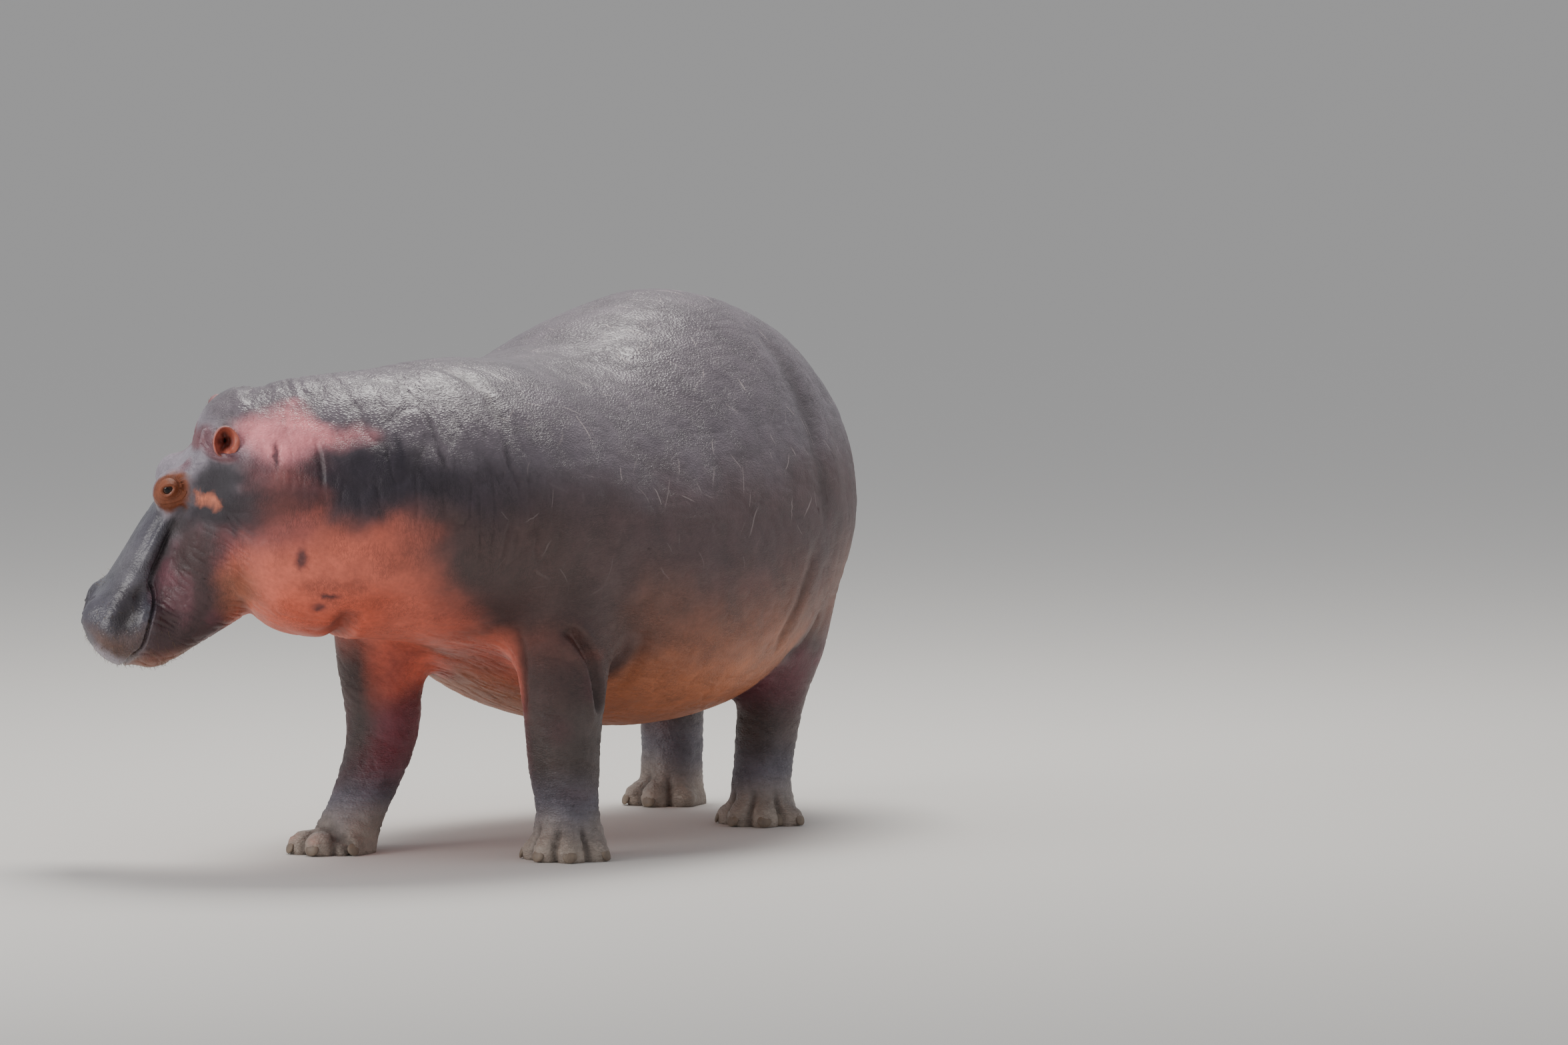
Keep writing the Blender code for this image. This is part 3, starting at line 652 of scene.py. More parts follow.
def melted_body():
    """The overlapping shells of the body as one smooth skin."""
    shells = [trunk_shell(), head_shell(SKULL), head_shell(JAW), tail_shell()]
    for forward, dorsal, out, *radii in HEAD_BULGES:
        for hand in (-1, 1):
            shells.append(ellipsoid(head_point(forward, dorsal, hand * out), (AHEAD, DORSAL, LEFT), radii))
    shells += [ellipsoid(row[:3], np.eye(3), row[3:]) for row in MUSCLES]
    for name, rows in LEGS.items():
        shells += [leg_shell(rows), *toe_shells(name)]
    skin = make_object("skin", *joined(shells))
    modify(skin, "REMESH", mode="VOXEL", voxel_size=VOXEL)
    modify(skin, "SMOOTH", factor=0.5, iterations=SMOOTH_STEPS)
    points = read_points(skin.data)
    away = np.min([np.linalg.norm(points - rows[1][:3], axis=1) for rows in LEGS.values()], axis=0)
    smooth_in(skin, np.clip(2.0 - away / ROOT_REACH, 0.0, 1.0), ROOT_STEPS)
    return skin


def refine(obj, where):
    """Cuts each face in four where the test of its middle's place on the head holds."""
    with edited(obj.data) as bm:
        faces = list(bm.faces)
        picked = np.flatnonzero(where(half_head(np.array([f.calc_center_median() for f in faces]))))
        edges = {e.index: e for i in picked for e in faces[i].edges}
        bmesh.ops.subdivide_edges(bm, edges=list(edges.values()), cuts=1, use_grid_fill=True)


def on_head(place):
    return (place[:, 0] > 0.02) & (place[:, 2] < 0.26) & (place[:, 1] > -0.34)


def near_eyes(place):
    return np.linalg.norm(place - EYE_PLACE, axis=1) < 0.048


def near_nostrils(place):
    return np.linalg.norm(place - (0.62, 0.05, 0.066), axis=1) < 0.055


def near_mouth(place):
    lines = [HEAD_FURROWS[name][3] for name in ("mouth", "valley_line", "ear_fold", "ear_fold_2")]
    return np.minimum.reduce([furrow(place[:, :2], line, 0.011, 1.0, 0.0) for line in lines]) < -0.3


def off_line(spots, a, b):
    """How far along the line from a to b each spot lies, 0 to 1, and its distance from the line."""
    t = np.clip((spots - a) @ (b - a) / ((b - a) @ (b - a)), 0.0, 1.0)
    return t, np.linalg.norm(spots - a - t[:, None] * (b - a), axis=1)


def furrow(points, path, width, depth, lip):
    """Height round a furrow: minus depth on the path by a bell curve of the distance over width, with a lip
    of that share of depth at twice the width. It fades out at both ends of the path."""
    path = smooth_rows(path, len(path) * 4)
    low, high = path.min(axis=0) - 5 * width, path.max(axis=0) + 5 * width
    near = np.flatnonzero(np.all((points > low) & (points < high), axis=1))
    away = np.full(len(near), 1e9)
    gone = np.zeros(len(near))
    for k, (a, b) in enumerate(zip(path, path[1:])):
        t, distance = off_line(points[near], a, b)
        gone = np.where(distance < away, (k + t) / (len(path) - 1), gone)
        away = np.minimum(away, distance)
    q = away / width
    fade = step(gone, 0.0, 0.2) * step(1.0 - gone, 0.0, 0.2)
    height = np.zeros(len(points))
    height[near] = fade * depth * (lip * bell((q - 1.9) / 0.8) - bell(q))
    return height


def head_relief(points):
    """Height of lips, nostrils, folds and wrinkles of the head."""
    place = half_head(points)
    forward, dorsal, _ = place.T
    height = np.zeros(len(points))
    for width, depth, lip, path in HEAD_FURROWS.values():
        height += furrow(place[:, :2], path, width, depth, lip)
    for row in HEAD_SWELLS:
        height += row[6] * np.exp(-(((place - row[:3]) / row[3:6]) ** 2).sum(axis=1))
    slit = furrow(place[:, ::2], NOSTRIL, NOSTRIL_WIDTH, NOSTRIL_DEPTH, 0.35)
    height += slit * step(dorsal, -0.02, 0.01)
    snout = step(forward, 0.26, 0.34) * step(dorsal, -0.12, -0.02)
    jaw = step(dorsal, -0.09, -0.13) * step(forward, 0.1, 0.2)
    pleats = spot(place, (0.525, -0.135, 0.16), (0.075, 0.05, 0.1), 0.5)
    height -= 0.0009 * snout * wrinkles(place, (0.012, 0.03, 0.03), 3)
    height -= 0.002 * jaw * wrinkles(place, (0.012, 0.05, 0.05), 5)
    height -= 0.0034 * pleats * wrinkles(place, (0.012, 0.07, 0.07), 7, 0.35)
    height += 0.001 * step(forward, 0.5, 0.56) * noise(place, 0.014, 6)
    crown = step(forward, 0.24, 0.1) * step(dorsal, -0.14, -0.04)
    height -= 0.0016 * crown * wrinkles(points, (0.035, 0.035, 0.008), 4, 0.3)
    return height * step(forward, -0.05, 0.06)


def leg_relief(points):
    """Height of the level creases on the lower legs and of the grooves between toes."""
    z = points[:, 2]
    low = step(z, 0.42, 0.12) * step(z, 0.015, 0.05)
    waved = points + UP * (0.012 * noise(points, 0.1, 8))[:, None]
    height = -0.0022 * low * wrinkles(waved, (0.13, 0.13, 0.013), 9, 0.35)
    height -= 0.0009 * low * wrinkles(waved, (0.07, 0.07, 0.007), 10, 0.35)
    for name in LEGS:
        middle, toes = toe_places(name)
        x, y, _ = (points - middle).T
        reach, turn = np.hypot(x, y), np.arctan2(y, x)
        near = (reach < 0.18) & (z < 0.16)
        turns = [math.atan2(ahead[1], ahead[0]) for ahead, _, _ in toes]
        for first, second in zip(turns, turns[1:]):
            q = (turn - (first + second) / 2) * reach / TOE_GROOVE_WIDTH
            height -= near * TOE_GROOVE_DEPTH * bell(q) * step(z, 0.11, 0.05) * step(reach, 0.05, 0.08)
    return height


def body_relief(points):
    """Height of the body's furrows, the neck's rings of creases, and slow unevenness of hide over muscle."""
    flat = body_place(points)
    along, _, z = flat.T
    height = np.zeros(len(points))
    for width, depth, lip, path in BODY_FURROWS.values():
        height += furrow(points, path, width, depth, lip)
    height -= JOWL_DEPTH * bell((along - JOWL_ALONG - JOWL_SLANT * (z - 0.6)) / JOWL_WIDTH) * step(z, 0.7, 0.61)
    neck = step(along, 0.62, 0.8) * step(head_place(points)[:, 0], 0.1, -0.02)
    height -= 0.0032 * neck * wrinkles(flat, (0.022, 0.11, 0.11), 12, 0.3)
    height -= 0.0018 * neck * wrinkles(flat, (0.009, 0.04, 0.04), 13, 0.3)
    trunk = step(along, 0.8, 0.6) * step(z, 0.3, 0.45)
    height += 0.004 * trunk * noise(flat, (0.2, 0.2, 0.16), 14)
    height += 0.0016 * trunk * noise(flat, (0.07, 0.07, 0.05), 15)
    height -= 0.0013 * trunk * wrinkles(flat, (0.045, 0.05, 0.02), 16, 0.3)
    return height


def ear_relief(points):
    """Height of the fleshy mound that wraps the front and underside of each ear, with two curved folds in it."""
    height = np.zeros(len(points))
    for name in EARS:
        up, across, out = ear_place(points, name)
        reach = np.hypot(up, across)
        around = step(-0.8 * across - 0.6 * up, -0.01, 0.02) * (np.abs(out) < 0.09)
        mound = 0.019 * bell((reach - 0.04) / 0.014)
        folds = 0.0035 * bell((reach - 0.041) / 0.0022) + 0.003 * bell((reach - 0.052) / 0.0024)
        height += around * (mound - folds)
    return height


def relief(points):
    return body_relief(points) + head_relief(points) + leg_relief(points) + ear_relief(points)


def eye_frame(hand):
    """Middle of the eyeball on that side and the direction in which it looks."""
    gaze = unit(GAZE[0] * AHEAD + GAZE[1] * DORSAL + hand * GAZE[2] * LEFT)
    return head_point(EYE_PLACE[0], EYE_PLACE[1], hand * EYE_PLACE[2]), gaze


def shape_lids(points):
    """Lids round each eyeball: the skin's distance from the eye's middle steps from inside the ball to just
    outside it at the opening's edge, then carries ringed folds that fade into the brow and cheek."""
    for hand in (-1, 1):
        centre, gaze = eye_frame(hand)
        away = points - centre
        distance = np.linalg.norm(away, axis=1)
        near = np.flatnonzero((distance < LID_BALL) & (away @ gaze > -0.012))
        away, distance = away[near], distance[near]
        axial = away @ gaze
        radial = np.linalg.norm(away - axial[:, None] * gaze, axis=1)
        angle = np.arctan2(radial, axial)
        roll = np.arctan2(away @ DORSAL, away @ AHEAD)
        slant = roll - LID_SLANT
        opening = LID_OPENING[0] + LID_OPENING[1] * np.abs(np.cos(slant)) ** 2.5
        lid = mix(LID_INSIDE, LID_DISTANCE, step(angle, opening - 0.1, opening + 0.07))
        lid += 0.0022 * bell((angle - opening - 0.18) / 0.12)
        folds = np.zeros(len(near))
        below = step(np.cos(roll + 1.35), -0.45, 0.35)
        for radius, width, depth, low in LID_CREASES:
            egg = radius * (1.0 + 0.06 * np.cos(2 * slant) + 0.03 * np.sin(3 * roll))
            q = (radial - egg) / width
            crease = 0.35 * bell((q - 1.8) / 0.9) + 0.35 * bell((q + 1.8) / 0.9) - bell(q)
            folds += depth * crease * mix(1.0, below, low)
        new = mix(lid, distance, step(radial, *LID_REACH)) + folds
        points[near] += away / distance[:, None] * (new - distance)[:, None]
    return points


def cut_at_floor(mesh):
    """Takes off what is below the floor and closes the soles."""
    with edited(mesh) as bm:
        geometry = bm.verts[:] + bm.edges[:] + bm.faces[:]
        bmesh.ops.bisect_plane(bm, geom=geometry, plane_co=(0, 0, 0), plane_no=(0, 0, -1), clear_outer=True)
        bmesh.ops.holes_fill(bm, edges=[e for e in bm.edges if e.is_boundary], sides=0)
        bmesh.ops.triangulate(bm, faces=[f for f in bm.faces if len(f.verts) > 4])


def ear_axes(name):
    """Middle of the ear's cup, and its upward, across and facing directions."""
    forward, dorsal, side, lean = EARS[name]
    hand = math.copysign(1.0, side)
    heading = spine_place(POLL_ALONG)[1]
    upward = np.array([math.cos(heading) * math.sin(lean), math.sin(heading) * math.sin(lean), math.cos(lean)])
    facing = unit(LEFT * hand - upward * (LEFT * hand @ upward))
    facing = facing * math.cos(EAR_TURN) + np.cross(upward, facing) * hand * math.sin(EAR_TURN)
    place = head_point(forward, dorsal, side - EAR_SINK * hand) + upward * EAR_LENGTH * EAR_STAND
    return place, upward, np.cross(upward, facing) * hand, facing


def ear_place(points, name):
    """How far up, across and out from the middle of the ear's cup each point lies."""
    centre, *axes = ear_axes(name)
    return [(points - centre) @ axis for axis in axes]


def ear_rim(up, across):
    """Distance from the middle of the ear's cup as a share of its rim's radius."""
    return np.hypot(up / EAR_LENGTH, across / EAR_WIDTH)


def ear_shell(name):
    """The section carried round an egg-shaped rim, thick and raised at the back, with ribs inside the cup."""
    place, upward, across, facing = ear_axes(name)
    rows = smooth_rows(EAR_SECTION, EAR_ROWS)
    t = circle(64)
    share, depth = rows[:, :1], rows[:, 1:2] * np.ones_like(t)
    inner = (np.arange(EAR_ROWS) < EAR_CUP_ROWS)[:, None]
    back = step(np.cos(t + 0.45), -0.1, 0.95)
    depth = depth + inner * step(share, 0.15, 0.5) * 0.0022 * np.cos(5 * t + 0.6)
    rise = 0.006 * step(share, 0.7, 1.05) * np.sin(t) * step(depth, -0.03, 0.0)
    depth = depth + back * 0.01 * step(share, 0.3, 0.75) + rise
    narrowed = share * (1.0 - 0.26 * back * inner * step(share, 0.25, 0.8) * step(share, 1.02, 0.86))
    length = EAR_LENGTH * (1.0 + 0.06 * np.sin(t) ** 3 - 0.05 * np.cos(t)) * np.sin(t)
    width = EAR_WIDTH * (1.0 + 0.05 * np.cos(3 * t)) * np.cos(t)
    slit = inner * step(share, 0.3, 0.1)
    deep = step(-depth, 0.02, 0.07) * (1 - inner)
    sunk = EAR_LENGTH * (0.1 * slit - 0.25 * deep)
    moved = 0.1 * EAR_WIDTH * inner * step(share, 0.9, 0.2) - 0.006 * deep
    points = place + (narrowed * length + sunk)[..., None] * upward
    points = points + (narrowed * width * (1.0 - 0.45 * slit) + moved)[..., None] * across
    return tube(points + depth[..., None] * facing)


def inside(places, outline, soft):
    """1 inside a closed outline in a plane and 0 outside, changing over that distance on each side of its line."""
    corners = smooth_rows(np.vstack([outline, outline[:1]]), len(outline) * 3 + 1)
    near = np.flatnonzero(np.all((places > corners.min(axis=0) - soft) & (places < corners.max(axis=0) + soft), axis=1))
    spots = places[near]
    away = np.full(len(near), 1e9)
    within = np.zeros(len(near), bool)
    for a, b in zip(corners, corners[1:]):
        if not np.any(a != b):
            continue
        away = np.minimum(away, off_line(spots, a, b)[1])
        crosses = (a[1] > spots[:, 1]) != (b[1] > spots[:, 1])
        level = (spots[:, 1] - a[1]) / np.where(b[1] == a[1], 1.0, b[1] - a[1])
        within ^= crosses & (spots[:, 0] < a[0] + level * (b[0] - a[0]))
    share = np.zeros(len(places))
    share[near] = step(np.where(within, away, -away), -soft, soft)
    return share


def spot(place, centre, radii, soft):
    """1 inside an ellipsoid, fading to 0 over its soft rim."""
    distance = np.linalg.norm((place - np.array(centre)) / np.array(radii), axis=1)
    return step(distance, 1.0 + soft, 1.0 - soft)


def paint(colour, *layers):
    """Lays colours one after the other, each by its share at each point."""
    for over, share in layers:
        colour = colour * (1.0 - share[:, None]) + over * share[:, None]
    return colour


def marker(plane, outlines):
    """Paints by name: the share of each point of that plane inside the named outline."""
    return lambda name, soft, share=1.0: share * inside(plane, outlines[name], soft)


def plain(points, colour):
    return np.tile(colour, (len(points), 1))


def leg_share(points, name):
    """1 on that leg, fading to 0 where it joins the trunk."""
    rows = LEGS[name][::-1]
    x, y, long, wide = (np.interp(points[:, 2], rows[:, 2], rows[:, k]) for k in (0, 1, 3, 4))
    away = np.hypot((points[:, 0] - x) / (long + 0.03), (points[:, 1] - y) / (wide + 0.03))
    return step(away, 1.5, 1.1) * step(points[:, 2], 0.64, 0.46)


def body_paint(points):
    """Grey back, brown flanks, warm belly whose tan low down is partly painted warm bounce light, salmon breast and
    throat, dark shoulder and band along the neck.
    """
    moved = points + 0.35 * drift(points, 20, 0.12, 0.04) + 0.25 * drift(points, 24, 0.015)
    along, _, z = body_place(moved).T
    mark = marker(np.stack([along, z], axis=1), BODY_MARKS)
    outer = step(np.abs(body_place(points)[:, 1]), 0.2, 0.28)
    stained = step(noise(points, (0.09, 0.09, 0.05), 28), 0.0, 0.7)
    streaks = 0.84 + 0.16 * noise(points, (0.06, 0.06, 0.01), 29)
    return paint(
        plain(points, BACK_GREY),
        (FLANK_BROWN, step(z, 1.08, 0.86)),
        (BELLY_WARM, step(z, 0.8, 0.5) * step(along, 0.6, 0.45) * 0.95),
        (BELLY_WARM, step(z, 0.66, 0.54) * step(along, 1.0, 0.9)),
        # Tan low on the body: partly its own colour, partly painted warm bounce light.
        (BELLY_TAN_AND_BOUNCE_LIGHT, step(z, 0.6, 0.42) * 0.9),
        (SALMON, mark("salmon", 0.06, 0.95)),
        (SHOULDER_BROWN, mark("shoulder", 0.08, 0.85) * outer),
        (SALMON * 0.62, mark("salmon", 0.06, 0.6) * stained),
        (JOWL_CORAL, 0.8 * step(z, 0.78, 0.64) * step(along, 0.95, 1.05)),
        (ROSE, mark("rose", 0.03, 0.9)),
        (SLATE, mark("slate_band", 0.045, 0.9) * step(along, 0.58, 1.0)),
        (PINK, mark("pink", 0.035) * streaks * step(along, 0.99, 1.12)),
    )


def face_paint(points):
    """Grey crown, slate temples and muzzle, orange lids and temple mark, plum jaw and salmon cheeks, with painted shade
    under the muzzle's bulge and in the valley from the eye to the mouth, and a painted highlight on the muzzle.
    """
    place = head_place(points + 0.3 * drift(points, 30, 0.03) + 0.45 * drift(points, 33, 0.01))
    forward, dorsal, side = place.T
    plane, out = place[:, :2], np.abs(side)
    mark = marker(plane, HEAD_MARKS)
    tinged = step(noise(points, 0.05, 36), 0.0, 0.6)
    return paint(
        plain(points, CROWN_GREY),
        (ROSE, step(dorsal, -0.12, -0.17) * (1.0 - step(forward, 0.1, 0.04) * 0.5)),
        (SALMON, step(dorsal, -0.17, -0.25) * (0.7 + 0.25 * step(dorsal, -0.22, -0.32))),
        (JAW_TAN, 0.8 * spot(plane, (0.4, -0.26), (0.09, 0.06), 0.6)),
        (ROSE, mark("rose_cheek", 0.03, 0.95) * (0.85 + 0.15 * noise(points, 0.04, 37))),
        (ROSE, mark("cheek_shade", 0.045, 0.65)),
        (TEMPLE_DARK, mark("temple_slate", 0.03) * (0.74 + 0.21 * step(dorsal, -0.26, -0.14))),
        (JAW_PLUM, mark("jaw", 0.034)),
        (LIP_PLUM, mark("jaw", 0.02, 0.4) * tinged),
        (JAW_TAN, 0.85 * step(forward - 0.6 * dorsal, 0.69, 0.76) * step(dorsal, -0.1, -0.13)),
        (MUZZLE_SLATE, mark("muzzle", 0.008)),
        (MUZZLE_SLATE, step(forward, 0.29, 0.33) * step(dorsal, -0.02, 0.005)),
        # Painted highlight on the muzzle's bulge.
        (MUZZLE_PAINTED_HIGHLIGHT, 0.4 * spot(plane, (0.47, -0.008), (0.07, 0.035), 0.7)),
        # Painted shade under the muzzle's bulge.
        (MUZZLE_SHADE, mark("muzzle_shade", 0.02, 0.85)),
        (MUZZLE_TAN, mark("muzzle_low", 0.022, 0.6)),
        (MUZZLE_TAN, mark("muzzle", 0.02, 0.8) * step(forward, 0.625, 0.665)),
        (LIP_PLUM, mark("lip_corner", 0.026, 0.9)),
        # Painted shade in the valley.
        (VALLEY_SHADE, mark("valley", 0.014, 0.65)),
        (LID_ORANGE, mark("lids", 0.008) * step(out, 0.104, 0.124)),
        (LIP_PLUM, mark("lid_top", 0.008, 0.7) * step(out, 0.075, 0.095)),
        (TEMPLE_ORANGE, mark("temple", 0.007, 0.95) * step(out, 0.075, 0.095)),
    )


def leg_paint(points, colour):
    """Dark brown down to grey over the forelegs, their inner sides reddish and partly lightened as painted light, plum
    to grey-blue over the hind legs, dust at the feet.
    """
    z = points[:, 2] + 0.03 * noise(points, 0.09, 40)
    inner = step(np.abs(points[:, 1]), 0.28, 0.19)
    fore = paint(
        plain(points, SHOULDER_BROWN * 0.9),
        (LEG_GREY, step(z, 0.46, 0.28)),
        # Reddish inner sides in lightened copies of salmon and plum: partly their own colour, partly painted light.
        (SALMON * 1.3, inner * step(z, 0.32, 0.46)),
        (LEG_PLUM * 2.0, 0.8 * inner * step(z, 0.12, 0.24) * step(z, 0.46, 0.34)),
    )
    hind = paint(
        plain(points, FLANK_BROWN * 0.8),
        (LEG_PLUM, step(z, 0.5, 0.42) * step(noise(points, 0.13, 41), -0.7, 0.1)),
        (LEG_GREY, step(z, 0.34, 0.28)),
    )
    low = (
        (LEG_BLUE, 0.9 * step(z, 0.26, 0.12)),
        (LEG_PLUM, 0.4 * step(noise(points, 0.1, 42), 0.1, 0.6) * step(z, 0.12, 0.22)),
        (DUST, 0.7 * step(z, 0.15, 0.02)),
    )
    return paint(colour, *((paint(fore if "front" in name else hind, *low), leg_share(points, name)) for name in LEGS))


def ear_paint(points, normals, ear, colour):
    """Coral ears with painted shade darkening deep in the cup, and a rose ring of hide round each."""
    for name in EARS:
        up, across, out = ear_place(points, name)
        rim = ear_rim(up, across)
        cup = step(normals @ ear_axes(name)[3], -0.2, 0.5) * step(rim, 1.2, 0.95)
        front = step(across, 0.006, -0.02) * step(out, 0.006, -0.004)
        look = paint(
            plain(points, CROWN_GREY),
            (EAR_CORAL, 0.45 + 0.55 * cup),
            (EAR_MOUND, 0.75 * front * (1.0 - 0.7 * step(rim, 0.95, 0.75))),
            # Painted shade, darker the deeper in the cup.
            (EAR_CUP_SHADE, cup * step(out, -0.004, -0.018)),
            (CREVICE_SHADE, cup * step(out, -0.022, -0.028)),
        )
        reach = np.hypot(up, across)
        here = (np.hypot(reach, out) < 0.1) & (ear > 0.5)
        ring = step(reach, 0.06, 0.044) * (ear < 0.5) * step(-0.8 * across - 0.6 * up, -0.02, 0.015)
        colour = paint(np.where(here[:, None], look, colour), (EAR_MOUND, 0.8 * ring))
    return colour


def skin_paint(points, normals, ear):
    """Colour, wetness, depth in furrows, how far wrinkles run upright, and how glossy and pebbled the hide is."""
    place = head_place(points)
    flat = body_place(points)
    along, _, z = flat.T
    on_face = step(place[:, 0], 0.0, 0.06) * step(place[:, 1], -0.4, -0.34)
    small = (flat + 0.3 * drift(points, 27, 0.008))[:, ::2]
    smudges = [(SLATE, 0.8 * spot(small, row[:2], row[2:], 0.5)) for row in SMUDGES]
    colour = paint(leg_paint(points, body_paint(points)), (face_paint(points), on_face), *smudges)
    colour = ear_paint(points, normals, ear, colour)
    crevice = np.clip((-relief(points) - 0.0018) / 0.008, 0.0, 1.0) * (ear < 0.5)
    mottled = 0.09 * noise(points, 0.22, 46) + 0.1 * noise(points, 0.05, 44) + 0.06 * noise(points, 0.018, 45)
    # Painted shade in the deeper furrows of the relief, then random tone over all.
    colour = paint(colour, (CREVICE_SHADE, 0.5 * crevice)) * (1.0 + mottled)[:, None]
    legs = sum(leg_share(points, name) for name in LEGS)
    upright = step(along, 0.6, 0.85) * step(z, 1.12, 0.98) * (z > 0.3) * (1.0 - legs)
    mark = marker(place[:, :2], HEAD_MARKS)
    nose, temple = mark("muzzle", 0.02, on_face), mark("temple_slate", 0.02, on_face)
    matt = np.maximum(temple, mark("lids", 0.015, on_face))
    sheen = np.maximum(step(normals[:, 2], 0.08, 0.62) * step(z, 0.45, 0.8), 0.75 * nose)
    sheen = sheen * (ear < 0.5) * (1.0 - matt) - matt
    values = {"wet": wetness(points), "crevice": crevice, "upright": np.clip(upright, 0.0, 1.0), "sheen": sheen}
    return np.clip(colour, 0.0, 1.0), values


def wetness(points):
    """0 to 1: wet eyes and lips, a damp muzzle and corner of the mouth."""
    place = half_head(points)
    plane = place[:, :2]
    lips = np.clip(-furrow(plane, HEAD_FURROWS["mouth"][3], 0.009, 1.0, 0.0), 0.0, 1.0) * step(place[:, 0], 0.4, 0.46)
    mark = marker(plane, HEAD_MARKS)
    eyes = spot(place, EYE_PLACE, (0.014, 0.014, 0.04), 0.2)
    damp = np.maximum(mark("lip_corner", 0.03, 0.12), mark("muzzle", 0.02, 0.25))
    return np.clip(np.maximum.reduce([damp, 0.8 * lips, 0.8 * eyes]), 0.0, 1.0)


def unwrap(obj):
    """Islands of the skin's own shape, as the map named OFBake."""
    obj.data.uv_layers.new(name="OFBake")
    bpy.context.view_layer.objects.active = obj
    obj.select_set(True)
    bpy.ops.object.mode_set(mode="EDIT")
    bpy.ops.mesh.select_all(action="SELECT")
    bpy.ops.uv.smart_project(angle_limit=math.radians(66), island_margin=0.002)
    bpy.ops.object.mode_set(mode="OBJECT")
    obj.select_set(False)


def make_skin(offset):
    """The melted body with all its relief, its ears set in, painted, and moved on to the frame's origin."""
    skin = melted_body()
    modify(skin, "SUBSURF", levels=1, render_levels=1)
    for where in (on_head, near_eyes, near_nostrils, near_mouth, near_eyes):
        refine(skin, where)
    smooth_in(skin, step(head_place(read_points(skin.data))[:, 0], 0.0, 0.05), 2)
    points = read_points(skin.data)
    points = points + read_normals(skin.data) * relief(points)[:, None]
    write_points(skin.data, shape_lids(points))
    cut_at_floor(skin.data)
    triangles = sum(len(p.vertices) - 2 for p in skin.data.polygons)
    modify(skin, "DECIMATE", ratio=min(1.0, SKIN_TRIANGLES / triangles))
    ears = make_object("ears", *joined([ear_shell(name) for name in EARS]))
    body_count = len(skin.data.vertices)
    with edited(skin.data) as bm:
        bm.from_mesh(ears.data)
        bmesh.ops.triangulate(bm, faces=bm.faces)
    bpy.data.objects.remove(ears)
    skin.data.shade_smooth()
    points = read_points(skin.data)
    ear = (np.arange(len(points)) >= body_count).astype(float)
    colour, values = skin_paint(points, read_normals(skin.data), ear)
    write_values(skin.data, "pigment", np.column_stack([colour, np.ones(len(colour))]), "FLOAT_COLOR", "color")
    for name, value in values.items():
        write_values(skin.data, name, value)
    write_points(skin.data, points + offset)
    unwrap(skin)
    return skin


class Nodes:
    """Short calls to add and link shader nodes in one tree."""

    def __init__(self, tree):
        self.tree = tree

    def put(self, node, values):
        """Links or sets inputs of a node: pairs of a socket's name or number and its source or value."""
        for socket, source in values:
            if isinstance(source, bpy.types.NodeSocket):
                self.tree.links.new(source, node.inputs[socket])
            else:
                node.inputs[socket].default_value = (*source, 1.0) if isinstance(source, np.ndarray) else source

    def add(self, kind, values=(), **settings):
        node = self.tree.nodes.new(kind)
        for key, value in settings.items():
            setattr(node, key, value)
        self.put(node, values)
        return node

    def place(self):
        return self.add("ShaderNodeTexCoord").outputs["Object"]

    def own(self, name, kind="Fac"):
        """A value that the piece carries at each of its points."""
        return self.add("ShaderNodeAttribute", attribute_name=name).outputs[kind]

    def math(self, operation, *values, clamp=False):
        return self.add("ShaderNodeMath", enumerate(values), operation=operation, use_clamp=clamp).outputs[0]

    def times(self, *values):
        return self.math("MULTIPLY", *values)

    def line(self, value, slope, base, **settings):
        """value * slope + base."""
        return self.math("MULTIPLY_ADD", value, slope, base, **settings)

    def vector(self, operation, *values):
        return self.add("ShaderNodeVectorMath", enumerate(values), operation=operation).outputs

    def ramp(self, value, low, high):
        """S-curve from 0 at low to 1 at high."""
        values = [("Value", value), ("From Min", low), ("From Max", high)]
        return self.add("ShaderNodeMapRange", values, interpolation_type="SMOOTHSTEP").outputs["Result"]

    def blend(self, share, first, second, kind="MIX"):
        values = [(0, share), (6, first), (7, second)]
        return self.add("ShaderNodeMix", values, data_type="RGBA", blend_type=kind).outputs[2]

    def stretched(self, vector, scale):
        return self.add("ShaderNodeMapping", [("Vector", vector), ("Scale", scale)]).outputs[0]

    def noise(self, vector, scale, detail=2.0, roughness=0.5, distortion=0.0):
        values = [("Vector", vector), ("Scale", scale), ("Detail", detail), ("Roughness", roughness)]
        return self.add("ShaderNodeTexNoise", [*values, ("Distortion", distortion)]).outputs["Fac"]

    def cells(self, vector, scale):
        return self.add("ShaderNodeTexVoronoi", [("Vector", vector), ("Scale", scale)], feature="F1").outputs

    def bump(self, height, strength, distance):
        values = [("Height", height), ("Strength", strength), ("Distance", distance)]
        return self.add("ShaderNodeBump", values).outputs["Normal"]


def new_group(name, inputs, outputs):
    """Empty node group with those sockets: its nodes, its inputs, and the node that takes its outputs."""
    tree = bpy.data.node_groups.new(name, "ShaderNodeTree")
    for sockets, side in ((inputs, "INPUT"), (outputs, "OUTPUT")):
        for socket in sockets:
            kind = "NodeSocketVector" if socket == "Place" else "NodeSocketFloat"
            tree.interface.new_socket(name=socket, in_out=side, socket_type=kind)
    n = Nodes(tree)
    return tree, n, n.add("NodeGroupInput").outputs, n.add("NodeGroupOutput")


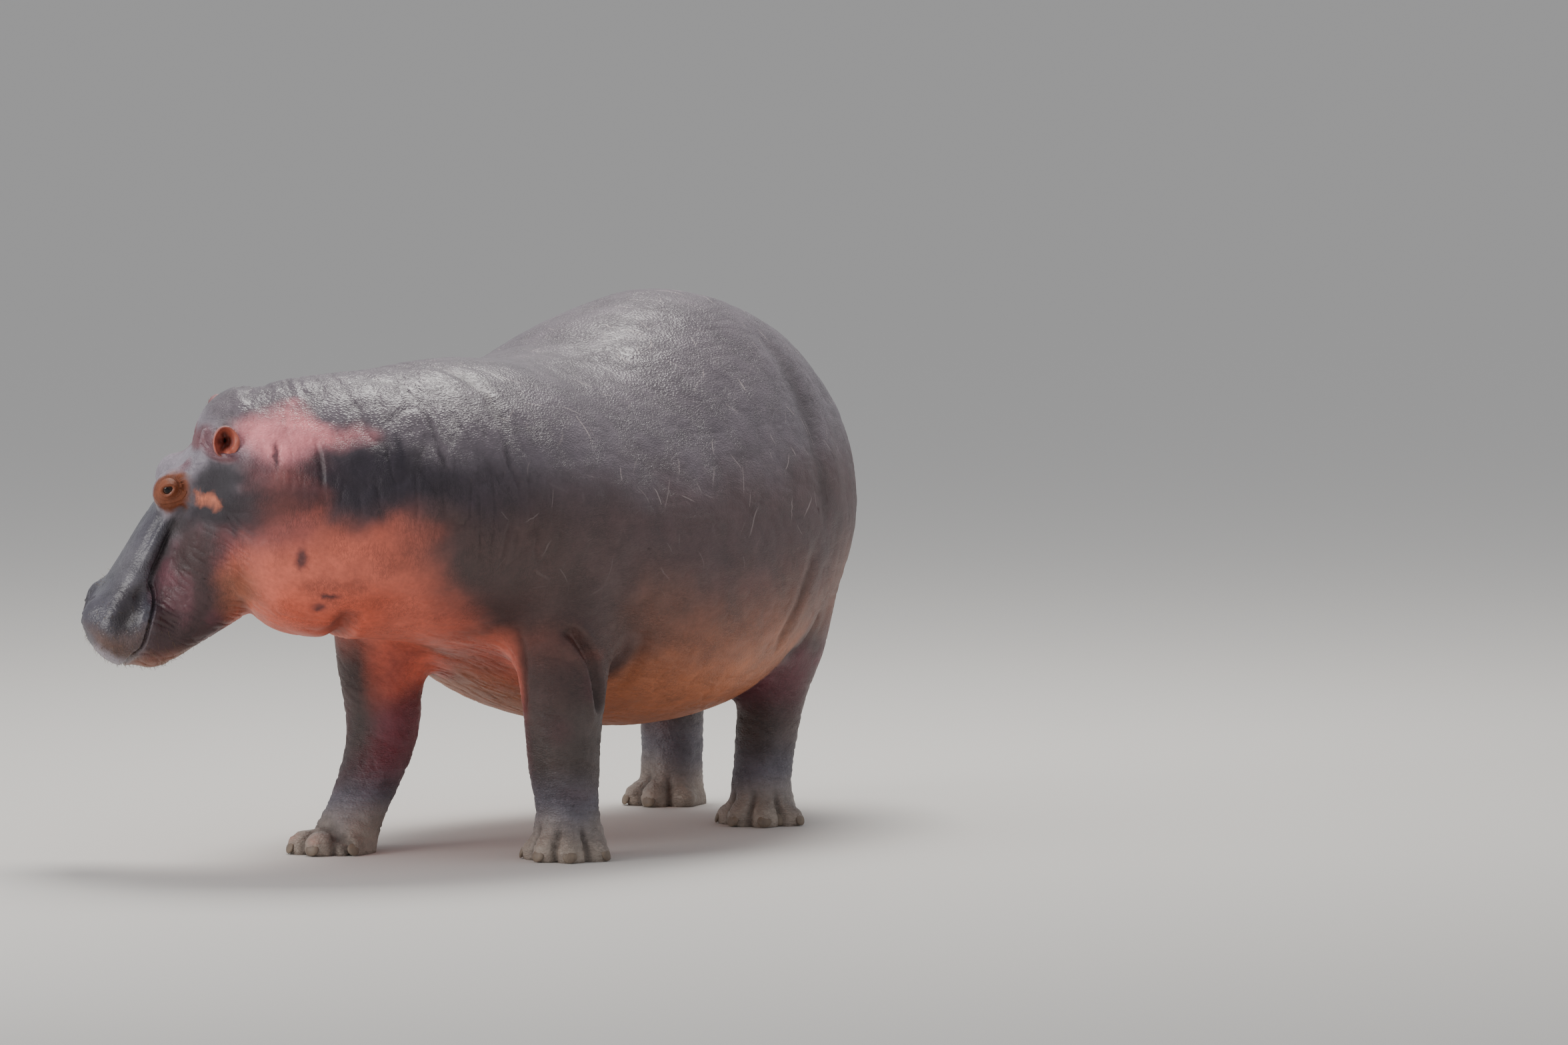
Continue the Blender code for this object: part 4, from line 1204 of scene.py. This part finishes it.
def grain_group():
    """Hide grain: rounded pebbles under winding wrinkles, level or upright, as a height and a mask of the wrinkles."""
    tree, n, into, out = new_group("hide grain", ("Place", "Upright", "Wrinkles", "Pebbles"), ("Height", "Creases"))
    place = into["Place"]
    folds = [
        n.math("ABSOLUTE", n.line(n.noise(n.stretched(place, stretch), into["Wrinkles"], 2.0, 0.65, 0.6), 2.0, -1.0))
        for stretch in ((0.8, 0.8, 2.6), (1.7, 1.7, 0.5))
    ]
    fold = n.add("ShaderNodeMix", [(0, into["Upright"]), (2, folds[0]), (3, folds[1])], data_type="FLOAT")
    crease = n.ramp(fold.outputs[0], 0.0, 0.17)
    crease = n.math("MAXIMUM", crease, n.ramp(n.noise(place, 14.0, 0.0), 0.68, 0.36))
    pebble = n.ramp(n.cells(n.stretched(place, (0.8, 0.8, 1.3)), into["Pebbles"])["Distance"], 0.75, 0.05)
    n.put(out, [("Height", n.line(crease, 0.5, n.times(pebble, 0.5))), ("Creases", n.math("SUBTRACT", 1.0, crease))])
    return tree


def scratch_group():
    """Scratches: one short line in each of many cells, where a random plane through its middle meets the hide."""
    tree, n, into, out = new_group("hide scratches", ("Place",), ("Scratches",))
    bent = n.noise(into["Place"], 9.0, 0.0).node.outputs["Color"]
    moved = n.vector("MULTIPLY_ADD", bent, (0.05,) * 3, into["Place"])[0]
    lines = []
    for scale, width in ((9.0, 0.003), (16.0, 0.002)):
        cells = n.cells(moved, scale)
        away = n.vector("SUBTRACT", moved, cells["Position"])[0]
        plane = n.vector("NORMALIZE", n.vector("SUBTRACT", cells["Color"], (0.5,) * 3)[0])[0]
        off = n.math("ABSOLUTE", n.vector("DOT_PRODUCT", away, plane)["Value"])
        line = n.math("SUBTRACT", 1.0, n.ramp(off, width * 0.3, width))
        line = n.times(line, n.ramp(n.vector("LENGTH", away)["Value"], 0.48 / scale, 0.2 / scale))
        chance = n.add("ShaderNodeSeparateColor", [("Color", cells["Color"])]).outputs["Red"]
        lines.append(n.times(line, n.line(n.ramp(chance, 0.6, 1.0), 0.92, 0.08)))
    n.put(out, [("Scratches", n.math("MAXIMUM", *lines))])
    return tree


def new_material(name):
    material = bpy.data.materials.new(name)
    material.use_nodes = True
    return material, Nodes(material.node_tree), material.node_tree.nodes["Principled BSDF"]


def hide_material(grain, scratches):
    """Pigment from the skin, with painted shade in the creases of its wrinkles, and pale scratches; pebbled and glossy
    where sheen is high.
    """
    material, n, shader = new_material("hide")
    place = n.place()
    wet, crevice, upright, sheen = (n.own(name) for name in ("wet", "crevice", "upright", "sheen"))
    values = [("Wrinkles", 78.0), ("Pebbles", 165.0), ("Place", place), ("Upright", upright)]
    height, creases = n.add("ShaderNodeGroup", values, node_tree=grain).outputs
    lines = n.add("ShaderNodeGroup", [("Place", place)], node_tree=scratches).outputs[0]
    x, _, z = n.add("ShaderNodeSeparateXYZ", [("Vector", place)]).outputs
    mottle = n.noise(place, 11.0, 3.0, 0.65)
    tone = n.times(n.line(mottle, 0.6, 0.7), n.line(n.noise(place, 90.0, 1.0), 0.4, 0.8))
    body = n.ramp(x, 0.7, 0.4)
    # Painted shade: the colour darkens in the creases of the wrinkles, more on the trunk and where wrinkles run
    # upright.
    dark = n.line(body, 0.1, n.line(upright, 0.16, 0.1))
    tone = n.times(tone, n.math("SUBTRACT", 1.0, n.times(creases, dark)))
    grey = n.add("ShaderNodeCombineColor", enumerate([tone] * 3)).outputs[0]
    colour = n.blend(1.0, n.own("pigment", "Color"), grey, "MULTIPLY")
    upper = n.times(n.ramp(z, 0.6, 1.05), n.ramp(x, 0.85, 0.45))
    colour = n.blend(n.times(lines, n.times(upper, 0.6)), colour, srgb(196, 180, 178))
    gloss = n.line(sheen, -0.15, n.line(mottle, 0.16, 0.42))
    gloss = n.line(wet, -0.2, n.line(crevice, 0.15, gloss), clamp=True)
    strong = n.line(body, 0.24, n.line(n.math("MAXIMUM", sheen, 0.0), 0.7, 0.24))
    strong = n.line(n.ramp(z, 0.36, 0.14), 0.8, strong)
    normal = n.bump(n.times(height, strong), 0.6, 0.003)
    n.put(shader, [("Base Color", colour), ("Roughness", gloss), ("Specular IOR Level", 0.55), ("Normal", normal)])
    n.put(shader, [("Coat Weight", n.times(wet, 0.5)), ("Coat Roughness", 0.12)])
    return material


def eye_material():
    """Near-black pupil, brown iris and dull brown white, by the angle from the gaze."""
    material, n, shader = new_material("eyeball")
    angle = n.own("from_gaze")
    streaks = n.noise(n.place(), 420.0, 3.0)
    iris = n.blend(streaks, srgb(28, 16, 12), srgb(62, 38, 26))
    white = n.blend(streaks, srgb(74, 50, 42), srgb(112, 84, 70))
    colour = n.blend(n.ramp(angle, 0.62, 0.8), iris, white)
    colour = n.blend(n.ramp(angle, 0.34, 0.26), colour, srgb(8, 6, 6))
    n.put(shader, [("Base Color", colour), ("Roughness", 0.05), ("Specular IOR Level", 0.32)])
    return material


def nail_material(grain):
    """Horn with grain along the toe."""
    material, n, shader = new_material("nail")
    place = n.place()
    values = [("Wrinkles", 90.0), ("Pebbles", 420.0), ("Upright", 1.0), ("Place", n.stretched(place, (1.0, 1.0, 0.25)))]
    height = n.add("ShaderNodeGroup", values, node_tree=grain).outputs["Height"]
    tint = n.noise(place, 60.0, 4.0)
    colour = n.blend(tint, srgb(92, 78, 70), srgb(150, 134, 116))
    gloss, normal = n.line(tint, 0.3, 0.35), n.bump(height, 0.4, 0.001)
    n.put(shader, [("Base Color", colour), ("Roughness", gloss), ("Normal", normal)])
    return material


def bristle_material():
    material, n, shader = new_material("bristle")
    colour = n.blend(n.noise(n.place(), 90.0), srgb(70, 56, 44), srgb(168, 140, 104))
    n.put(shader, [("Base Color", colour), ("Roughness", 0.45)])
    return material


def floor_material():
    material, n, shader = new_material("floor")
    n.put(shader, [("Base Color", (0.7, 0.68, 0.65, 1.0)), ("Roughness", 0.9)])
    return material


def eye_piece(name, hand, offset):
    """Eyeball whose cornea bulges round the gaze; it carries the angle from the gaze."""
    centre, gaze = eye_frame(hand)
    across = unit(np.cross(gaze, UP))
    points, faces = ellipsoid(np.zeros(3), (across, np.cross(gaze, across), gaze), [EYE_RADIUS] * 3, 56)
    angle = np.arccos(np.clip(unit(points) @ gaze, -1.0, 1.0))
    points = points * (1.0 + 0.055 * step(angle, 0.62, 0.25))[:, None]
    eye = make_object(name, points + centre + offset, faces)
    write_values(eye.data, "from_gaze", angle)
    return eye


def nail_shells(points):
    """A rounded nail on each toe, set where the skin reaches furthest in the toe's direction."""
    for name in LEGS:
        middle, toes = toe_places(name)
        away = points - middle
        for ahead, _, radius in toes:
            across = np.cross(UP, ahead)
            near = (np.abs(away @ across) < 0.006) & (away[:, 2] > 0.012) & (away[:, 2] < 0.03) & (away @ ahead > 0)
            reach = (away[near] @ ahead).max() if near.any() else 0.12
            out = unit(ahead * 0.94 + UP * 0.34)
            rise = unit(UP - out * (UP @ out))
            centre = middle + ahead * (reach - 0.0035) + UP * NAIL_HEIGHT
            yield ellipsoid(centre, (across, rise, out), (NAIL_WIDTH * radius / NAIL_TOE, NAIL_RISE, NAIL_THICK), 24)


def face_middles(mesh):
    """Middle, normal and area of each triangle, with the mean of its place on the unwrap."""
    a, b, c = np.swapaxes(read_points(mesh)[read(mesh.polygons, "vertices", 3, np.int32)], 0, 1)
    cross = np.cross(b - a, c - a)
    area = np.linalg.norm(cross, axis=1)
    uv = np.zeros((len(a), 2))
    if mesh.uv_layers:
        uv = read(mesh.uv_layers[0].data, "uv", 2).reshape(-1, 3, 2).mean(axis=1)
    return (a + b + c) / 3, cross / np.maximum(area, 1e-12)[:, None], area / 2, uv


def bristle_arrays(roots, normals, lie, lengths, thick, bend):
    """Three-sided tapered bristles: each leans from the normal towards its lie and bends further to its tip."""
    lie = unit(lie - (lie * normals).sum(axis=1, keepdims=True) * normals + 1e-6)
    t = np.array([-0.08, 0.3, 0.65, 1.0])
    spine = normals[:, None] * (t - 0.35 * t**2)[None, :, None] + lie[:, None] * (0.35 * t + t**2)[None, :, None] * bend
    spine = roots[:, None] + spine * lengths[:, None, None]
    across = unit(np.cross(normals, lie))
    cos, sin = (wave(circle(3))[None, None, :, None] for wave in (np.cos, np.sin))
    ring = cos * across[:, None, None] + sin * lie[:, None, None]
    taper = np.array([1.0, 0.85, 0.55, 0.12])[None, :, None, None]
    points = spine[:, :, None] + ring * taper * thick
    base = np.arange(len(roots))[:, None, None] * 12
    i = np.arange(3)[:, None] * 3
    j = np.arange(3)[None, :]
    k = (j + 1) % 3
    quads = (base + np.stack([i + j, i + k, i + 3 + k, i + 3 + j], axis=-1).reshape(1, -1, 4)).reshape(-1, 4)
    caps = [(base[:, 0] + np.array([cap])).tolist() for cap in ([2, 1, 0], [9, 10, 11])]
    return points.reshape(-1, 3), quads.tolist() + caps[0] + caps[1]


def make_bristles(skin, offset):
    """Sparse stiff hairs on the muzzle, the ears' rims and the end of the tail."""
    rng = np.random.default_rng(5)
    middles, normals, area, uv = face_middles(skin.data)
    spots = middles - offset
    forward, dorsal, side = head_place(spots).T
    here = (np.abs(side) < 0.24) & (forward < 0.75) & (np.abs(dorsal) < 0.3)
    muzzle = here * step(forward, 0.5, 0.6) * step(dorsal, -0.24, -0.16) * step(dorsal, 0.045, 0.02)
    chin = here * step(forward, 0.54, 0.6) * step(dorsal, -0.12, -0.2)
    ears = np.zeros(len(spots))
    for name in EARS:
        up, across, out = ear_place(spots, name)
        ears = np.maximum(ears, (np.abs(ear_rim(up, across) - 1.02) < 0.12) * (np.abs(out) < 0.014))
    tail = step(-spots[:, 0], 0.99, 1.0) * step(spots[:, 2], 0.74, 0.68)
    lies = (AHEAD * 0.6 - DORSAL * 0.5, AHEAD * 0.5 - DORSAL, UP, np.array([-0.1, 0.0, -1.0]))
    parts, roots_uv = [], []
    for weight, lie, (count, span, thick) in zip((muzzle, chin, ears, tail), lies, BRISTLES.values()):
        share = weight * area
        picked = rng.choice(len(share), count, p=share / share.sum())
        lie = lie + rng.normal(0.0, 0.35, (count, 3)) + LEFT * np.sign(side[picked, None]) * 0.4
        lengths = rng.uniform(*span, count)
        bend = rng.uniform(0.3, 0.9, (count, 1, 1))
        parts.append(bristle_arrays(middles[picked], normals[picked], lie, lengths, thick, bend))
        roots_uv.append(uv[picked])
    bristles = make_object("bristles", *joined(parts))
    corner = read(bristles.data.loops, "vertex_index", 1, np.int32)[:, 0]
    patch = grid(2, 0, 0, 1, 0, 0, 1)
    local = (patch[None] + np.arange(4)[:, None, None] * grid(2, 0.4, 0.5)).reshape(12, 2)
    spread = np.vstack(roots_uv)[corner // 12] + local[corner % 12]
    bristles.data.uv_layers.new(name="OFBake").data.foreach_set("uv", spread.astype(np.float32).ravel())
    return bristles


def make_floor():
    """Round level floor, far wider than the animal."""
    t = circle(96)
    mesh = bpy.data.meshes.new("floor")
    ring = FLOOR_RADIUS * np.stack([np.cos(t), np.sin(t), np.zeros(96)], axis=1)
    mesh.from_pydata(ring.tolist(), [], [list(range(96))])
    mesh.materials.append(floor_material())
    return placed("floor", mesh)


def aimed(name, data, aim, away):
    """New lamp or camera at that distance and direction from its aim."""
    obj = placed(name, data)
    obj.location = aim + away
    obj.rotation_euler = Vector(away).to_track_quat("Z", "Y").to_euler()
    return obj


def make_camera(offset):
    back = np.array([math.cos(CAMERA_TURN), math.sin(CAMERA_TURN), math.tan(CAMERA_RISE)]) * math.cos(CAMERA_RISE)
    aim = np.array(CAMERA_AIM) + offset
    data = bpy.data.cameras.new("camera")
    data.sensor_width = SENSOR
    data.lens = SENSOR * CAMERA_AWAY / VIEW_WIDTH
    data.clip_end = 500.0
    bpy.context.scene.camera = aimed("camera", data, aim, back * CAMERA_AWAY)
    return back, aim


def make_lights(back, aim):
    """A broad lamp above and beyond the animal, a large soft one in front of it, and a pale sky."""
    axes = np.array([back, UP, [-back[1], back[0], 0.0]])
    for name, (place, size, power, colour) in LIGHTS.items():
        light = bpy.data.lights.new(name, "AREA")
        light.size, light.energy, light.color = size, power, colour
        aimed(name, light, aim, np.array(place) @ axes)
    world = bpy.data.worlds.new("studio")
    world.use_nodes = True
    sky = world.node_tree.nodes["Background"]
    sky.inputs["Color"].default_value = SKY
    sky.inputs["Strength"].default_value = SKY_STRENGTH
    bpy.context.scene.world = world


def main():
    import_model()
    low, high = (np.array(corner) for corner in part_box("eye_left"))
    offset = (low + high) / 2 - head_point(*EYE_PLACE)
    back, aim = make_camera(offset)
    make_floor()
    make_lights(back, aim)

    grain, scratches = grain_group(), scratch_group()
    skin = make_skin(offset)
    eyes = [eye_piece("eyeball_left", 1, offset), eye_piece("eyeball_right", -1, offset)]
    points, faces = joined(nail_shells(read_points(skin.data) - offset))
    nails = make_object("nails", points + offset, faces)
    bristles = make_bristles(skin, offset)
    eyeball = eye_material()
    materials = (hide_material(grain, scratches), nail_material(grain), bristle_material(), eyeball, eyeball)
    for piece, material in zip((skin, nails, bristles, *eyes), materials):
        piece.data.materials.append(material)
        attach(piece, "root")
    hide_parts("head", "neck", "trunk", "tail", *LEGS, *EARS)
    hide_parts("eye_left")
    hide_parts("eye_right")


main()
